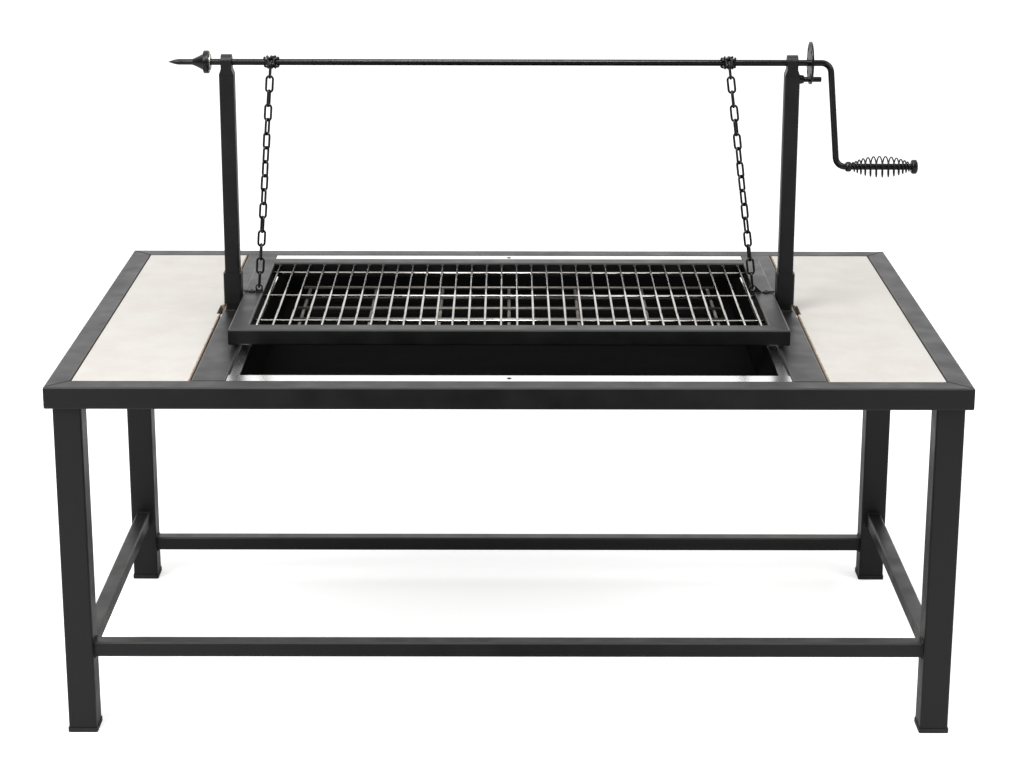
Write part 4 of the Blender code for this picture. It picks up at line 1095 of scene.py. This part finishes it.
nugget = add_node(grid_tree, "GeometryNodeMeshIcoSphere", {"Radius": given["Nugget"], "Subdivisions": 3})
uneven = add_node(
    grid_tree,
    "FunctionNodeRandomValue",
    {0: (0.8, 0.8, 0.35), 1: (1.15, 1.15, 0.6), "Seed": 3},
    data_type="FLOAT_VECTOR",
)
nuggets = add_node(
    grid_tree,
    "GeometryNodeInstanceOnPoints",
    {"Points": crossings.outputs[0], "Instance": nugget.outputs[0], "Scale": uneven.outputs[0]},
)
together = add_node(grid_tree, "GeometryNodeJoinGeometry")
for rods in (long_rods, cross_rods, nuggets.outputs[0]):
    grid_tree.links.new(rods, together.inputs[0])
placed_rods = add_node(
    grid_tree, "GeometryNodeTransform", {"Geometry": together.outputs[0], "Translation": given["Centre"]}
)
shaded_rods = add_node(grid_tree, "GeometryNodeSetShadeSmooth", {"Geometry": placed_rods.outputs[0]})
close_tree(grid_tree, shaded_rods.outputs[0], given["Material"])

grate_low, grate_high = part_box("cooking_grate")
grate_z = grate_high.z - GRATE_ROD / 2
grate = grown(
    "welded_cooking_grate",
    grid_tree,
    {
        "Rod Length": grate_high.y - grate_low.y,
        "Rod Radius": GRATE_ROD / 2,
        "Cross Length": grate_high.x - grate_low.x,
        "Cross Radius": GRATE_CROSS_ROD / 2,
        "Cross Drop": grate_high.z - grate_low.z - GRATE_ROD / 2 - GRATE_CROSS_ROD / 2,
        "Nugget": GRATE_NUGGET,
        "Centre": ((grate_low.x + grate_high.x) / 2, (grate_low.y + grate_high.y) / 2, grate_z),
        "Material": bright_rod,
    },
)
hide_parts("cooking_grate")
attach(grate, "grill")

scorched_weld, tree, shader = new_material("scorched_weld")
shader.inputs["Metallic"].default_value = 0.6
tree.links.new(mixed(tree, surface_noise(tree, 3, 3), "#2A2622", "#4A443E"), shader.inputs["Base Color"])
tree.links.new(between(tree, surface_noise(tree, 2, 3), 0.4, 0.6), shader.inputs["Roughness"])
end_runs = []
for rod_number in range(GRATE_RODS):
    x = (grate_low.x + grate_high.x) / 2 + (rod_number - (GRATE_RODS - 1) / 2) * GRATE_PITCH
    for y in (grate_low.y + END_WELD_STEP, grate_high.y - END_WELD_STEP):
        end_runs.append([(x - END_WELD_HALF, y, grate_z), (x + END_WELD_HALF, y, grate_z)])
end_bead = {"Radius": END_WELD_RADIUS, "Step": END_WELD_STEP}
end_welds = grown("rod_end_welds", bead_tree, end_bead, line_mesh("rod_ends", end_runs))
finish_piece(end_welds, scorched_weld, "bare_grate_steel", "grill")


# Coal grate. Seven bearers of round bar front to back under five long bars, welded at each crossing,
# bare bright steel dulled by a light grey film.
COAL_ROD = 0.007
COAL_ROWS = 5
COAL_COLUMNS = 7
COAL_PITCH = 0.0835
COAL_NUGGET = 0.0046
dull_rod, tree, shader = new_material("dulled_steel_bar")
shader.inputs["Metallic"].default_value = 0.7
tree.links.new(mixed(tree, surface_noise(tree, 30, 4), "#8E8B87", "#6F6B66"), shader.inputs["Base Color"])
tree.links.new(between(tree, surface_noise(tree, 8, 3), 0.36, 0.52), shader.inputs["Roughness"])
bumped(tree, shader, surface_noise(tree, 1.8, 3), 0.05, 0.5)
coal_low, coal_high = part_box("coal_grate")
coal = grown(
    "welded_coal_grate",
    grid_tree,
    {
        "Rods": COAL_COLUMNS,
        "Pitch": (coal_high.x - coal_low.x - 4 * COAL_ROD) / (COAL_COLUMNS - 1),
        "Rod Length": coal_high.y - coal_low.y,
        "Rod Radius": COAL_ROD / 2,
        "Cross Rods": COAL_ROWS,
        "Cross Pitch": COAL_PITCH,
        "Cross Length": coal_high.x - coal_low.x,
        "Cross Radius": COAL_ROD / 2,
        "Cross Drop": -(coal_high.z - coal_low.z - COAL_ROD),
        "Nugget": COAL_NUGGET,
        "Centre": ((coal_low.x + coal_high.x) / 2, (coal_low.y + coal_high.y) / 2, coal_low.z + COAL_ROD / 2),
        "Material": dull_rod,
    },
)
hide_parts("coal_grate")
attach(coal, "table")


# Flange rivets. One low domed rivet of lacquered steel at the middle of the front and the rear strip,
# set down on the polished face.
RIVET_RADIUS = 0.0042
RIVET_HEIGHT = 0.0016
RIVET_INSET = 0.017
RIVET_SUNK = 0.0002
flange_low, flange_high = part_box("tray_flange")
for name, y in (("front_rivet", flange_low.y + RIVET_INSET), ("rear_rivet", flange_high.y - RIVET_INSET)):
    dome = [(0, 0)]
    for step in range(9):
        angle = math.pi / 2 * step / 8
        dome.append((RIVET_HEIGHT * math.sin(angle), RIVET_RADIUS * math.cos(angle)))
    dome[-1] = (RIVET_HEIGHT, 0)
    rivet = lathe(name, dome, (0, 0, 0), 32)
    upward = Matrix.Translation((0, y, flange_high.z - RIVET_SUNK)) @ Matrix.Rotation(-math.pi / 2, 4, "Y")
    rivet.data.transform(upward)
    finish_piece(rivet, black_lacquer, "blackened_steel", "table")
